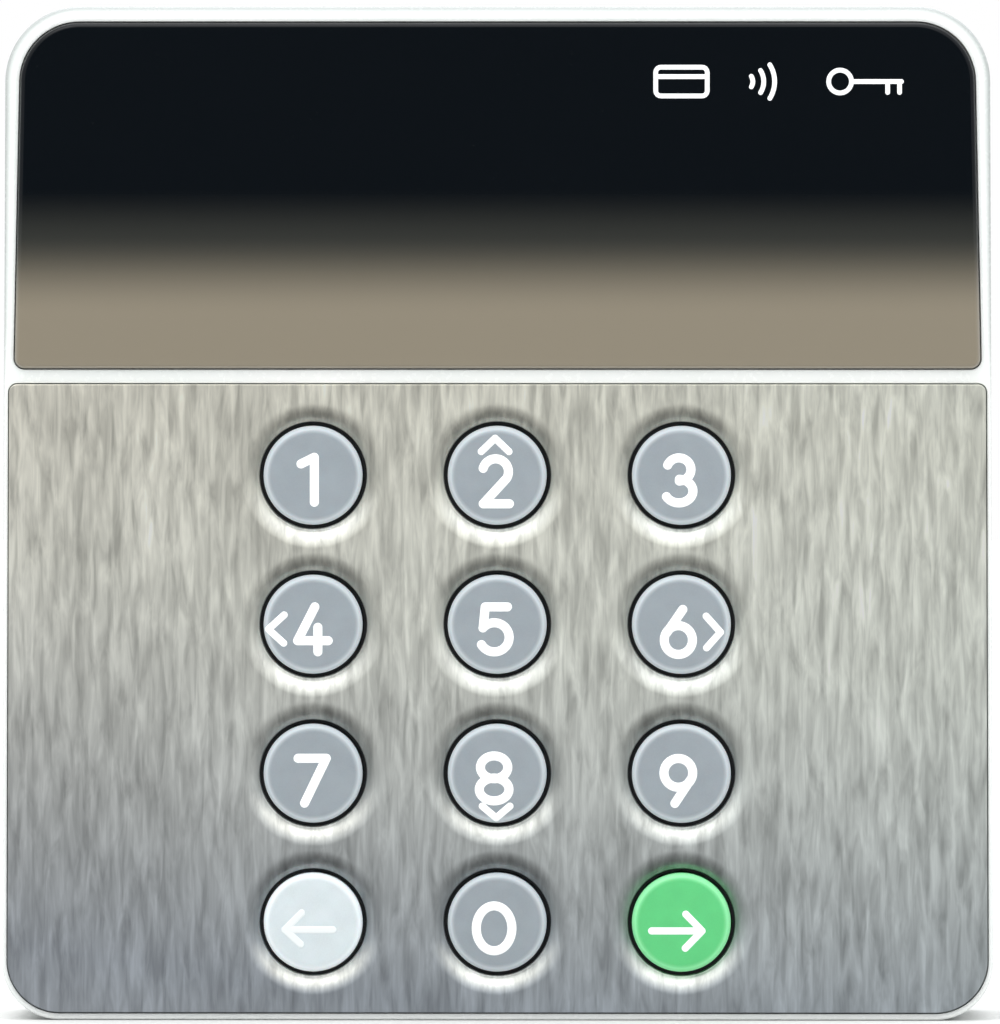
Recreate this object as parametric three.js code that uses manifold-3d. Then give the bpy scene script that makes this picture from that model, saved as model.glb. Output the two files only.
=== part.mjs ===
// Wall keypad access reader: a card window above twelve sprung keys in a steel plate.
//
// The panel is drawn lying down: X to the right, Y up the wall, Z out of the wall, wall at Z = 0.
// The last lines stand it up, so that the front looks along -Y and the wall face is the plane Y = 0.
// Depths are counted from the steel plate's front face towards the wall.

import * as THREE from "three";
import { mergeVertices } from "three/addons/utils/BufferGeometryUtils.js";
import Module from "manifold-3d";

const wasm = await Module();
wasm.setup();

// ---------------------------------------------------------------- driving dimensions, millimetres

// outline of the front
const housingWidth = 100.2;
const topNarrowing = 0.35; // the sides lean in by this much each at the top
const housingTopRadius = 7.6;
const housingBottomRadius = 5.8;
const wallThickness = 1.6;
const rimSetback = 0.5; // rim and band lie this far behind the plate's face
const rimBevel = 0.3;
const topRim = 1.66;
const bottomRim = 0.75;
const bandHeight = 1.62;

// window
const windowHeight = 34.9;
const windowTopSideRim = 1.7;
const windowBottomSideRim = 1.08;
const windowTopRadius = 6.0;
const windowBottomRadius = 1.0;
const lensThickness = 2.0;
const lensProud = 0.3;
const lensBevel = 0.45;

// keypad
const columns = 3;
const rows = 4;
const columnPitch = 18.6;
const rowPitch = 15.05;
const keyEdgeMargin = 4.17; // from the plate's edge to the nearest keys
const keyDiameter = 10;
const keyProud = 0.9;
const keyTravel = 0.8;
const keyEdgeRound = 0.7;
const keyCollar = 0.9; // the collar is this much wider than the cap, all round
const collarThickness = 0.8;
const keyFootRadius = 2.6;
const keyTabWidth = 1.6;
const keyTabReach = 0.7;

// steel plate
const plateThickness = 1.0;
const plateSideRim = 0.55;
const plateTopRadius = 0.8;
const plateHoleGap = 0.4;
const dishWidth = 1.9;
const dishDepth = 0.5;

// fits
const bondThickness = 0.3;
const bondEdge = 1; // the bonding frames stop short of the edge
const bondWidth = 0.6; // narrowest strip beside the keys
const windowBondWidth = 2.5;
const pocketFit = 0.12; // between a pocket and what drops into it
const seatGap = 0.1; // between two stacked faces
const keyFit = 0.2; // between a key and its bore
const screwFit = 0.2; // between a screw and its hole
const boardFit = 0.22; // between a board or frame and the wall beside it

// floor of the housing, boards and what stands on them
const floorBehindWindow = 1.8;
const floorBehindGuide = 1.0;
const guideThickness = 1.4; // the black plate that the keys run in
const guideInset = 1.2; // it lies inside a shelf that carries the steel plate's edge
const keyStopLip = 0.3; // how far the floor reaches over a key's collar
const boardThickness = 1.6;
const antennaBoardThickness = 1.0;
const antennaStandoff = 0.6;
const coilThickness = 0.3;
const coilWidth = 3.2;
const ferriteThickness = 0.4;
const matThickness = 0.85;
const wellGap = 0.2; // between a pressed collar and the mat
const ledHeight = 0.8;
const lightBarHeight = 2.4;
const lightBarWidth = 64;
const headerHeight = 0.9;
const socketHeight = 0.9;
const terminalHeight = 5.3;
const capacitorHeight = 5;

// back of the reader
const sealThickness = 0.5;
const ledgeWidth = 1.2;
const coverThickness = 1.8;
const coverGap = 0.2; // between the rear cover and the wall plate
const wallPlateThickness = 4.0;
const wallShadowGap = 0.4; // the housing stops short of the wall
const cableWindowWidth = 26;
const cableWindowHeight = 18;
const cableEntryDrop = 22; // below the middle of the wall face
const grommetBore = 7;
const grommetNeck = 10;
const grommetFlange = 13;
const grommetLip = 0.7;

// screws
const smallShankRadius = 0.9;
const smallHeadRadius = 1.9;
const smallHeadHeight = 0.95;
const lockScrewRadius = 1.0;
const lockScrewLength = 6.5;
const postRadius = 2.9;
const postFromWall = 3.6; // post centre from the inner faces
const wallSlotWidth = 3.8;
const wallSlotLength = 9;

// facets
const roundSides = 18;
const hiddenRoundSides = 16;
const smallSides = 8;
const cornerSteps = 3;

// ---------------------------------------------------------------- sizes worked out from them

const keyRadius = keyDiameter / 2;
const keyMargin = keyRadius + keyEdgeMargin; // from the plate's edge to the first and last rows
const plateHoleRadius = keyRadius + plateHoleGap;
const roomBetweenHoles = Math.min(columnPitch, rowPitch) / 2 - plateHoleRadius;
const dishRadius = plateHoleRadius + Math.min(dishWidth, roomBetweenHoles - seatGap);
const keyBoreRadius = keyRadius + keyFit;
const collarRadius = keyRadius + keyCollar;
const wellRadius = collarRadius + keyFit;

const plateHeight = (rows - 1) * rowPitch + 2 * keyMargin;
const housingHeight = topRim + windowHeight + bandHeight + plateHeight + bottomRim;
const halfHeight = housingHeight / 2;
const halfWidth = housingWidth / 2;
const windowTop = halfHeight - topRim;
const windowBottom = windowTop - windowHeight;
const plateTop = windowBottom - bandHeight;
const plateBottom = plateTop - plateHeight;
const bandMiddle = (windowBottom + plateTop) / 2;
const firstRow = plateTop - keyMargin;
const lastRow = plateBottom + keyMargin;
const lastColumn = ((columns - 1) / 2) * columnPitch;

// depths behind the plate's face
const plateSeat = plateThickness + 2 * seatGap + bondThickness;
const lensBack = lensThickness - lensProud;
const windowSeat = lensBack + 2 * seatGap + bondThickness;
const guideBack = plateSeat + guideThickness;
const guideSeat = guideBack + seatGap;
const floorBack = Math.max(windowSeat + floorBehindWindow, guideSeat + floorBehindGuide);
const dishBack = plateThickness + dishDepth;
const collarFront = floorBack + seatGap;
const collarBack = collarFront + collarThickness;
const matFront = collarBack + keyTravel + wellGap;
const keyBoardFront = matFront + matThickness + seatGap;
const footEnd = keyBoardFront - keyTravel - seatGap;
const keyBoardBack = keyBoardFront + boardThickness;
const headerBack = keyBoardBack + seatGap + headerHeight;
const socketBack = headerBack + seatGap + socketHeight;
const mainBoardFront = socketBack + seatGap;
const mainBoardBack = mainBoardFront + boardThickness;
const coverFront = mainBoardBack + Math.max(terminalHeight, capacitorHeight) + 3 * seatGap;
const coverBack = coverFront + coverThickness;
const ledgeDepth = coverFront - sealThickness - 2 * seatGap;
const wallPlateFront = coverBack + coverGap;
const housingDepth = wallPlateFront + wallPlateThickness; // from the plate's face to the wall
const antennaFront = floorBack + antennaStandoff;
const antennaBack = antennaFront + antennaBoardThickness;

// half sizes of what lies inside
const cavityInset = wallThickness + ledgeWidth;
const rearInset = wallThickness + pocketFit;
const postX = halfWidth - wallThickness - postFromWall;
const postTop = halfHeight - wallThickness - postFromWall;
const standoffX = halfWidth - cavityInset - 2.4;
const innerBoardX = postX - postRadius - 1.5; // boards that pass between the posts

// ---------------------------------------------------------------- materials

function finish(colour, roughness, metalness) {
  return new THREE.MeshStandardMaterial({ color: colour, roughness, metalness });
}

const whiteAcrylic = finish(0xeef3ee, 0.25, 0);
const smokedGloss = finish(0x13181c, 0.05, 0);
const brushedSteel = finish(0xb4b3ab, 0.38, 1);
const greyKey = finish(0xa3a9b4, 0.35, 0);
const clearKey = finish(0xe4eaec, 0.25, 0);
const greenKey = finish(0x58d07c, 0.3, 0);
const darkPlastic = finish(0x33363a, 0.6, 0);
const greyPlastic = finish(0x9a9da0, 0.65, 0);
const rubber = finish(0x222426, 0.85, 0);
const silicone = finish(0xc9ccc8, 0.7, 0);
const bond = finish(0x2a2a2c, 0.8, 0);
const boardGreen = finish(0x1d5a3a, 0.45, 0);
const copper = finish(0xb87346, 0.3, 1);
const ferrite = finish(0x2b2b2d, 0.7, 0);
const chipBlack = finish(0x17181a, 0.55, 0);
const zincSteel = finish(0xb9bcc0, 0.3, 1);
const canSilver = finish(0xc7cacd, 0.25, 1);
const terminalGreen = finish(0x2f8f5b, 0.5, 0);
const clearGuide = finish(0xe9f2f4, 0.1, 0);
const ledYellow = finish(0xf0e6a8, 0.3, 0);

// ---------------------------------------------------------------- solids

function toSolid(geometry) {
  geometry.deleteAttribute("normal");
  geometry.deleteAttribute("uv");
  const merged = mergeVertices(geometry, 1e-5);
  return new wasm.Manifold(
    new wasm.Mesh({
      numProp: 3,
      vertProperties: new Float32Array(merged.attributes.position.array),
      triVerts: new Uint32Array(merged.index.array),
    }),
  );
}

function toGeometry(solid) {
  const made = solid.getMesh();
  const geometry = new THREE.BufferGeometry();
  geometry.setAttribute("position", new THREE.BufferAttribute(made.vertProperties, 3));
  geometry.setIndex(new THREE.BufferAttribute(made.triVerts, 1));
  geometry.computeVertexNormals();
  return geometry;
}

// a corner list made round: each corner is [x, y, radius], anticlockwise
function roundedShape(corners, Kind = THREE.Shape) {
  const shape = new Kind();
  corners.forEach(([x, y, radius], index) => {
    const before = corners[(index + corners.length - 1) % corners.length];
    const after = corners[(index + 1) % corners.length];
    const here = new THREE.Vector2(x, y);
    const back = new THREE.Vector2(before[0] - x, before[1] - y).normalize();
    const ahead = new THREE.Vector2(after[0] - x, after[1] - y).normalize();
    const halfAngle = Math.acos(THREE.MathUtils.clamp(back.dot(ahead), -1, 1)) / 2;
    const inward = back.clone().add(ahead).normalize();
    const centre = here.clone().addScaledVector(inward, radius / Math.sin(halfAngle));
    const start = here.clone().addScaledVector(back, radius / Math.tan(halfAngle)).sub(centre);
    const end = here.clone().addScaledVector(ahead, radius / Math.tan(halfAngle)).sub(centre);
    shape.absarc(centre.x, centre.y, radius, start.angle(), end.angle(), false);
  });
  return shape;
}

// four corners of a panel that may be narrower at the top
function panelCorners(topHalf, bottomHalf, bottom, top, topRadius, bottomRadius) {
  return [
    [-bottomHalf, bottom, bottomRadius],
    [bottomHalf, bottom, bottomRadius],
    [topHalf, top, topRadius],
    [-topHalf, top, topRadius],
  ];
}

const smallestCorner = 0.3;

// the housing's outline, drawn in from the outer face by inset
function housingOutline(inset, Kind) {
  return roundedShape(
    panelCorners(
      halfWidth - topNarrowing - inset,
      halfWidth - inset,
      -halfHeight + inset,
      halfHeight - inset,
      Math.max(housingTopRadius - inset, smallestCorner),
      Math.max(housingBottomRadius - inset, smallestCorner),
    ),
    Kind,
  );
}

// the window's outline: a negative inset is a pocket round it
function windowOutline(inset, Kind) {
  return roundedShape(
    panelCorners(
      halfWidthAt(windowTop) - windowTopSideRim - inset,
      halfWidthAt(windowBottom) - windowBottomSideRim - inset,
      windowBottom + inset,
      windowTop - inset,
      Math.max(windowTopRadius - inset, smallestCorner),
      Math.max(windowBottomRadius - inset, smallestCorner),
    ),
    Kind,
  );
}

// half the housing's width at a height, because the sides lean in
function halfWidthAt(height) {
  return halfWidth - topNarrowing * ((height + halfHeight) / housingHeight);
}

function plateOutline(inset, Kind) {
  return roundedShape(
    panelCorners(
      halfWidthAt(plateTop) - plateSideRim - inset,
      halfWidthAt(plateBottom) - plateSideRim - inset,
      plateBottom + inset,
      plateTop - inset,
      Math.max(plateTopRadius - inset, smallestCorner),
      Math.max(housingBottomRadius - plateSideRim - inset, smallestCorner),
    ),
    Kind,
  );
}

function rectangle(x0, x1, y0, y1, radius, Kind) {
  return roundedShape(
    [
      [x0, y0, radius],
      [x1, y0, radius],
      [x1, y1, radius],
      [x0, y1, radius],
    ],
    Kind,
  );
}

function circle(x, y, radius, Kind = THREE.Shape) {
  const shape = new Kind();
  shape.absarc(x, y, radius, 0, Math.PI * 2, false);
  return shape;
}

// an outline made solid between two depths behind the plate's face
function slab(shape, front, back, steps = cornerSteps) {
  const geometry = new THREE.ExtrudeGeometry(shape, {
    depth: back - front,
    bevelEnabled: false,
    curveSegments: steps,
  });
  return toSolid(geometry.translate(0, 0, housingDepth - back));
}

// an outline whose front edge is bevelled
function bevelledSlab(outline, front, back, bevel, steps = cornerSteps) {
  const body = slab(outline(0), front + bevel, back, steps);
  const crown = new THREE.ExtrudeGeometry(outline(bevel), {
    depth: bevel,
    bevelThickness: bevel,
    bevelSize: bevel,
    bevelSegments: 2,
    curveSegments: steps,
  });
  const placed = toSolid(crown.translate(0, 0, housingDepth - front - 2 * bevel));
  return body.add(placed.intersect(slab(outline(0), front - 1, front + 1.5 * bevel, steps)));
}

function block(x0, x1, y0, y1, front, back) {
  const geometry = new THREE.BoxGeometry(x1 - x0, y1 - y0, back - front);
  return toSolid(
    geometry.translate((x0 + x1) / 2, (y0 + y1) / 2, housingDepth - (front + back) / 2),
  );
}

// a round bar square to the panel
function rod(x, y, radius, front, back, sides = smallSides) {
  const geometry = new THREE.CylinderGeometry(radius, radius, back - front, sides);
  geometry.rotateX(Math.PI / 2);
  return toSolid(geometry.translate(x, y, housingDepth - (front + back) / 2));
}

// a turned solid square to the panel: its profile is [radius, depth] pairs
function turned(x, y, profile, sides = roundSides) {
  const points = profile.map(([radius, depth]) => new THREE.Vector2(radius, -depth));
  const geometry = new THREE.LatheGeometry(points.reverse(), sides);
  geometry.rotateX(Math.PI / 2);
  return toSolid(geometry.translate(x, y, housingDepth));
}

// ---------------------------------------------------------------- key places and names

const keyNames = [
  ["key_1", "key_2", "key_3"],
  ["key_4", "key_5", "key_6"],
  ["key_7", "key_8", "key_9"],
  ["key_back", "key_0", "key_enter"],
];

const keyPlaces = [];
for (let row = 0; row < rows; row += 1) {
  for (let column = 0; column < columns; column += 1) {
    keyPlaces.push({
      name: keyNames[row][column],
      x: (column - (columns - 1) / 2) * columnPitch,
      y: firstRow - row * rowPitch,
    });
  }
}

const sides = [-1, 1];
const cornerPosts = sides.flatMap((up) => sides.map((side) => [side * postX, up * postTop]));
const frameHalfWidth = lastColumn + wellRadius + 8.2;
const frameBottom = -halfHeight + cavityInset + boardFit;
const frameTop = firstRow + wellRadius + 0.8;
const frameScrews = sides.flatMap((up) =>
  sides.map((side) => [
    side * (frameHalfWidth - 3),
    (firstRow + lastRow) / 2 + up * (rows / 2 - 0.5) * rowPitch,
  ]),
);
const antennaScrews = sides.map((side) => [
  side * (innerBoardX - coilWidth - 6),
  (windowTop + windowBottom) / 2,
]);
const mainBoardTop = postTop - postRadius - 1.5;
const mainBoardBottom = plateTop - 15;
const standoffs = sides.flatMap((side) =>
  [mainBoardTop - 5, mainBoardBottom + 5].map((height) => [side * standoffX, height]),
);

// ---------------------------------------------------------------- housing and what it shows

// The shell: side walls, window and plate pockets, twelve openings for the keys, posts behind.
function makeHousing() {
  const rearEdge = housingDepth - wallShadowGap;
  let shell = bevelledSlab(housingOutline, rimSetback, rearEdge, rimBevel);
  shell = shell.subtract(slab(housingOutline(cavityInset), floorBack, ledgeDepth + 1));
  shell = shell.subtract(slab(housingOutline(wallThickness), ledgeDepth, housingDepth + 1));
  shell = shell.subtract(slab(windowOutline(-pocketFit), rimSetback - 1, windowSeat));
  shell = shell.subtract(slab(plateOutline(-pocketFit), rimSetback - 1, plateSeat));
  shell = shell.subtract(slab(plateOutline(guideInset - pocketFit), 0, guideSeat));
  for (const { x, y } of keyPlaces) {
    const opening = collarRadius - keyStopLip;
    shell = shell.subtract(rod(x, y, opening, 0, floorBack + 1, hiddenRoundSides));
  }
  const overlap = 0.5;
  for (const [x, y] of cornerPosts) {
    const post = rod(x, y, postRadius, floorBack - overlap, ledgeDepth);
    const pilot = rod(x, y, smallShankRadius + screwFit, ledgeDepth - 7, ledgeDepth + 1);
    shell = shell.add(post).subtract(pilot);
  }
  for (const [x, y] of standoffs) {
    const standoffFront = mainBoardFront - seatGap;
    const post = rod(x, y, 2.6, floorBack - overlap, standoffFront, smallSides);
    const pilot = rod(x, y, smallShankRadius + screwFit, standoffFront - 4, standoffFront + 1);
    shell = shell.add(post).subtract(pilot);
  }
  for (const [x, y] of frameScrews) {
    shell = shell.subtract(rod(x, y, smallShankRadius + screwFit, 0, floorBack + 1));
  }
  for (const [x, y] of antennaScrews) {
    const boss = rod(x, y, 2.4, floorBack - overlap, antennaFront - seatGap);
    const pilot = rod(x, y, smallShankRadius + screwFit, floorBack - 1.2, antennaFront + 1);
    shell = shell.add(boss).subtract(pilot);
  }
  // the lock screw's hole in the bottom wall, and the hooks' recesses in the top wall
  shell = shell.subtract(lockScrewBore(wallThickness + 2, screwFit));
  for (const side of sides) {
    shell = shell.subtract(hook(side, pocketFit));
  }
  return shell;
}

const hookX = 24;
const hookWidth = 9;
const hookReach = 0.9;
const hookThickness = 1.8;

// A tab on the wall plate's top edge that the housing's top wall hangs on.
function hook(side, fit) {
  const middle = side * hookX;
  const top = halfHeight - wallThickness + hookReach + fit;
  const front = wallPlateFront + 0.6 - fit;
  const back = wallPlateFront + 0.6 + hookThickness + fit;
  const half = hookWidth / 2 + fit;
  return block(middle - half, middle + half, halfHeight - wallThickness - 2, top, front, back);
}

const lockDepth = wallPlateFront + wallPlateThickness * 0.47;

// The bore runs straight up from under the reader, for the length given.
function lockScrewBore(length, fit) {
  const geometry = new THREE.CylinderGeometry(
    lockScrewRadius + fit,
    lockScrewRadius + fit,
    length,
    smallSides,
  );
  return toSolid(
    geometry.translate(0, -halfHeight - 1 + length / 2, housingDepth - lockDepth),
  );
}

function makeWindowLens() {
  return bevelledSlab(windowOutline, -lensProud, lensBack, lensBevel);
}

function makeWindowAdhesive() {
  const shape = windowOutline(bondEdge);
  shape.holes.push(windowOutline(bondEdge + windowBondWidth, THREE.Path));
  return slab(shape, lensBack + seatGap, lensBack + seatGap + bondThickness);
}

// A sheet with twelve holes, each in the middle of a shallow pressed dish.
function makeFacePlate() {
  let plate = slab(plateOutline(0), 0, plateThickness);
  for (const { x, y } of keyPlaces) {
    const pressing = [
      [0, plateThickness - 0.3],
      [dishRadius, plateThickness - 0.3],
      [dishRadius, plateThickness],
      [plateHoleRadius, dishBack],
      [0, dishBack],
    ];
    const dish = [
      [0, -1],
      [dishRadius, -1],
      [dishRadius, 0],
      [plateHoleRadius, dishDepth],
      [0, dishDepth],
    ];
    plate = plate.add(turned(x, y, pressing)).subtract(turned(x, y, dish));
    plate = plate.subtract(rod(x, y, plateHoleRadius, -1, dishBack + 1, roundSides));
  }
  return plate;
}

function makePlateAdhesive() {
  const shape = plateOutline(bondEdge);
  const reach = dishRadius + 1;
  const keyField = rectangle(
    -lastColumn - reach,
    lastColumn + reach,
    lastRow - Math.min(reach, keyMargin - bondEdge - bondWidth),
    firstRow + Math.min(reach, keyMargin - bondEdge - bondWidth),
    1,
    THREE.Path,
  );
  shape.holes.push(keyField);
  return slab(shape, plateThickness + seatGap, plateThickness + seatGap + bondThickness);
}

const guideSkin = 0.25; // left in front of the guide's screw holes

// The black plate under the steel one: its bores guide the keys, and the frame is screwed to it.
function makeKeyGuide() {
  let guide = slab(plateOutline(guideInset), plateSeat, guideBack);
  for (const { x, y } of keyPlaces) {
    const dishRoom = dishBack + bondThickness;
    guide = guide.subtract(rod(x, y, keyBoreRadius, 0, guideBack + 1, hiddenRoundSides));
    guide = guide.subtract(rod(x, y, dishRadius + 2 * keyFit, 0, dishRoom, hiddenRoundSides));
  }
  for (const [x, y] of frameScrews) {
    const pilot = rod(x, y, smallShankRadius + screwFit, plateSeat + guideSkin, guideBack + 1);
    guide = guide.subtract(pilot);
  }
  return guide;
}

// ---------------------------------------------------------------- keys

// Cap, collar that stops it from coming out, foot that closes the contact, tab that stops it turning.
function makeKey() {
  const round = keyEdgeRound;
  const cap = [
    [0, -keyProud],
    [keyRadius - round, -keyProud],
    [keyRadius, -keyProud + round],
    [keyRadius, collarFront],
    [collarRadius, collarFront],
    [collarRadius, collarBack],
    [keyFootRadius, collarBack],
    [keyFootRadius, footEnd],
    [0, footEnd],
  ];
  const tab = block(
    -keyTabWidth / 2,
    keyTabWidth / 2,
    0,
    collarRadius + keyTabReach,
    collarFront,
    collarBack,
  );
  return turned(0, 0, cap).add(tab);
}

// Spacer behind the floor with a well for each collar and a notch for its tab.
function makeKeyFrame() {
  let frame = slab(
    rectangle(-frameHalfWidth, frameHalfWidth, frameBottom, frameTop, 1.2),
    floorBack + seatGap,
    matFront - seatGap,
    3,
  );
  for (const { x, y } of keyPlaces) {
    frame = frame.subtract(rod(x, y, wellRadius, 0, matFront + 1, hiddenRoundSides));
    const half = keyTabWidth / 2 + keyFit;
    const notchEnd = y + collarRadius + keyTabReach + keyFit;
    frame = frame.subtract(block(x - half, x + half, y, notchEnd, 0, matFront + 1));
  }
  for (const [x, y] of frameScrews) {
    frame = frame.subtract(rod(x, y, smallShankRadius + screwFit, 0, matFront + 1));
  }
  return frame;
}

// Silicone sheet with a raised collar round each key's foot.
function makeKeyMat() {
  const halfAcross = frameHalfWidth - 6;
  let mat = slab(
    rectangle(-halfAcross, halfAcross, frameBottom + 0.6, frameTop - 0.6, 1),
    matFront,
    matFront + matThickness,
    3,
  );
  for (const { x, y } of keyPlaces) {
    mat = mat.subtract(rod(x, y, keyFootRadius + 2 * keyFit, 0, keyBoardFront, smallSides));
  }
  return mat;
}

function makeKeyBoard() {
  let board = slab(
    rectangle(-frameHalfWidth, frameHalfWidth, frameBottom, bandMiddle + 2.4, 1),
    keyBoardFront,
    keyBoardBack,
    3,
  );
  for (const [x, y] of frameScrews) {
    board = board.subtract(rod(x, y, smallShankRadius + screwFit, 0, keyBoardBack + 1));
  }
  return board;
}

// ---------------------------------------------------------------- light behind the band

// A clear bar along the band, with a pocket over each light.
function makeLightGuide() {
  const front = floorBack + seatGap;
  const back = keyBoardFront - ledHeight - 2 * seatGap;
  const low = bandMiddle - lightBarHeight / 2;
  return block(-lightBarWidth / 2, lightBarWidth / 2, low, low + lightBarHeight, front, back);
}

function makeStatusLed(place) {
  const x = (place * lightBarWidth) / 3;
  const front = keyBoardFront - seatGap - ledHeight;
  return block(x - 1.6, x + 1.6, bandMiddle - 1, bandMiddle + 1, front, front + ledHeight);
}

// ---------------------------------------------------------------- card antenna

const antennaBottom = windowBottom + 2.6;
const antennaTop = windowTop - 2.6;

function makeAntennaBoard() {
  let board = slab(
    rectangle(-innerBoardX, innerBoardX, antennaBottom, antennaTop, 1),
    antennaFront,
    antennaBack,
    3,
  );
  for (const [x, y] of antennaScrews) {
    board = board.subtract(rod(x, y, smallShankRadius + screwFit, 0, antennaBack + 1));
  }
  return board;
}

function makeAntennaCoil() {
  const edge = 1.2;
  const inner = edge + coilWidth;
  const coil = rectangle(
    -innerBoardX + edge,
    innerBoardX - edge,
    antennaBottom + edge,
    antennaTop - edge,
    2.5,
  );
  coil.holes.push(
    rectangle(
      -innerBoardX + inner,
      innerBoardX - inner,
      antennaBottom + inner,
      antennaTop - inner,
      1,
      THREE.Path,
    ),
  );
  return slab(coil, antennaFront - seatGap - coilThickness, antennaFront - seatGap, 3);
}

function makeFerriteSheet() {
  const half = Math.abs(antennaScrews[0][0]) - smallHeadRadius - 1;
  const front = antennaBack + seatGap;
  return slab(
    rectangle(-half, half, antennaBottom + 1.5, antennaTop - 1.5, 1),
    front,
    front + ferriteThickness,
    2,
  );
}

// ---------------------------------------------------------------- main board

function makeMainBoard() {
  const half = standoffX + 2;
  let board = slab(
    rectangle(-half, half, mainBoardBottom, mainBoardTop, 1),
    mainBoardFront,
    mainBoardBack,
    3,
  );
  for (const [x, y] of standoffs) {
    board = board.subtract(rod(x, y, smallShankRadius + screwFit, 0, mainBoardBack + 1));
  }
  return board;
}

const backOfBoard = mainBoardBack + seatGap;
const frontOfBoard = mainBoardFront - seatGap;
const mainBoardMiddle = (mainBoardTop + mainBoardBottom) / 2;

function makeProcessorChip() {
  return block(-18, -8, mainBoardMiddle + 4, mainBoardMiddle + 14, backOfBoard, backOfBoard + 1.2);
}

function makeRadioChip() {
  return block(12, 19, mainBoardMiddle + 5, mainBoardMiddle + 12, backOfBoard, backOfBoard + 0.9);
}

function makeClockCrystal() {
  return block(-4, 1, mainBoardMiddle + 8, mainBoardMiddle + 11.2, backOfBoard, backOfBoard + 1.1);
}

function makeSupplyCapacitor() {
  const top = backOfBoard + capacitorHeight;
  return rod(30, mainBoardMiddle + 2, 3.15, backOfBoard, top, hiddenRoundSides);
}

// Round sounder with a hole in the middle of its face.
function makeBuzzer() {
  const height = 2.8;
  const x = -20;
  const y = mainBoardTop - 8;
  const body = rod(x, y, 4.5, frontOfBoard - height, frontOfBoard, hiddenRoundSides);
  return body.subtract(rod(x, y, 0.9, frontOfBoard - height - 1, frontOfBoard - height + 1.2));
}

// Push-in block: a row of wire mouths below and release buttons on its back.
const terminalPoles = 8;
const terminalPitch = 3.5;
const terminalX = -8;

function makeTerminalBlock() {
  const half = (terminalPoles * terminalPitch) / 2;
  const low = mainBoardBottom + 1.5;
  const back = backOfBoard + terminalHeight;
  let body = block(terminalX - half, terminalX + half, low, low + 8, backOfBoard, back);
  for (let pole = 0; pole < terminalPoles; pole += 1) {
    const x = terminalX - half + (pole + 0.5) * terminalPitch;
    const mouth = backOfBoard + terminalHeight * 0.45;
    body = body.subtract(block(x - 1.1, x + 1.1, low - 1, low + 4, mouth - 1.1, mouth + 1.1));
    body = body.subtract(block(x - 0.9, x + 0.9, low + 4.8, low + 7, back - 0.7, back + 1));
  }
  return body;
}

const linkHalf = 9;
const linkLow = plateTop - 4;
const linkHeight = 4.2;

function makeBoardHeader() {
  const front = keyBoardBack + seatGap;
  return block(-linkHalf, linkHalf, linkLow, linkLow + linkHeight, front, front + headerHeight);
}

function makeBoardSocket() {
  const front = headerBack + seatGap;
  const half = linkHalf + 0.8;
  const low = linkLow - 0.8;
  return block(-half, half, low, linkLow + linkHeight + 0.8, front, front + socketHeight);
}

// ---------------------------------------------------------------- tamper switch

const tamperX = 30;
const tamperY = mainBoardBottom + 6;
const plungerRadius = 1.2;
const tamperTravel = 0.8;
const switchHeight = 3.6;

function makeTamperSwitch() {
  const back = backOfBoard + switchHeight;
  const body = block(tamperX - 3, tamperX + 3, tamperY - 3, tamperY + 3, backOfBoard, back);
  return body.subtract(rod(tamperX, tamperY, plungerRadius + keyFit, back - 2.6, back + 1));
}

function makeTamperPlunger() {
  const switchBack = backOfBoard + switchHeight;
  const front = switchBack - 2.6 + tamperTravel + seatGap;
  return rod(tamperX, tamperY, plungerRadius, front, wallPlateFront - seatGap, smallSides);
}

// ---------------------------------------------------------------- back

function makeHousingSeal() {
  const shape = housingOutline(rearInset);
  shape.holes.push(housingOutline(cavityInset - pocketFit, THREE.Path));
  return slab(shape, ledgeDepth + seatGap, ledgeDepth + seatGap + sealThickness);
}

const counterboreDepth = 1.05;

function makeRearCover() {
  let cover = slab(housingOutline(rearInset), coverFront, coverBack);
  const neck = grommetNeck / 2 + pocketFit;
  cover = cover.subtract(rod(0, -cableEntryDrop, neck, 0, housingDepth, roundSides));
  const plungerHole = plungerRadius + keyFit;
  cover = cover.subtract(rod(tamperX, tamperY, plungerHole, 0, housingDepth, smallSides));
  for (const [x, y] of cornerPosts) {
    cover = cover.subtract(rod(x, y, smallShankRadius + screwFit, 0, housingDepth));
    const counterbore = coverBack - counterboreDepth;
    cover = cover.subtract(rod(x, y, smallHeadRadius + screwFit, counterbore, housingDepth));
  }
  return cover;
}

function makeCableGrommet() {
  const bore = grommetBore / 2;
  const neck = grommetNeck / 2;
  const flange = grommetFlange / 2;
  const inside = coverFront - seatGap;
  const outside = coverBack + seatGap;
  const section = [
    [bore, inside - grommetLip],
    [flange - 0.6, inside - grommetLip],
    [flange, inside],
    [neck, inside],
    [neck, outside],
    [flange, outside],
    [flange - 0.6, outside + grommetLip],
    [bore, outside + grommetLip],
    [bore, inside - grommetLip],
  ];
  return turned(0, -cableEntryDrop, section, roundSides);
}

const wallSlotX = 30;
const wallSlotY = 36;

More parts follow.
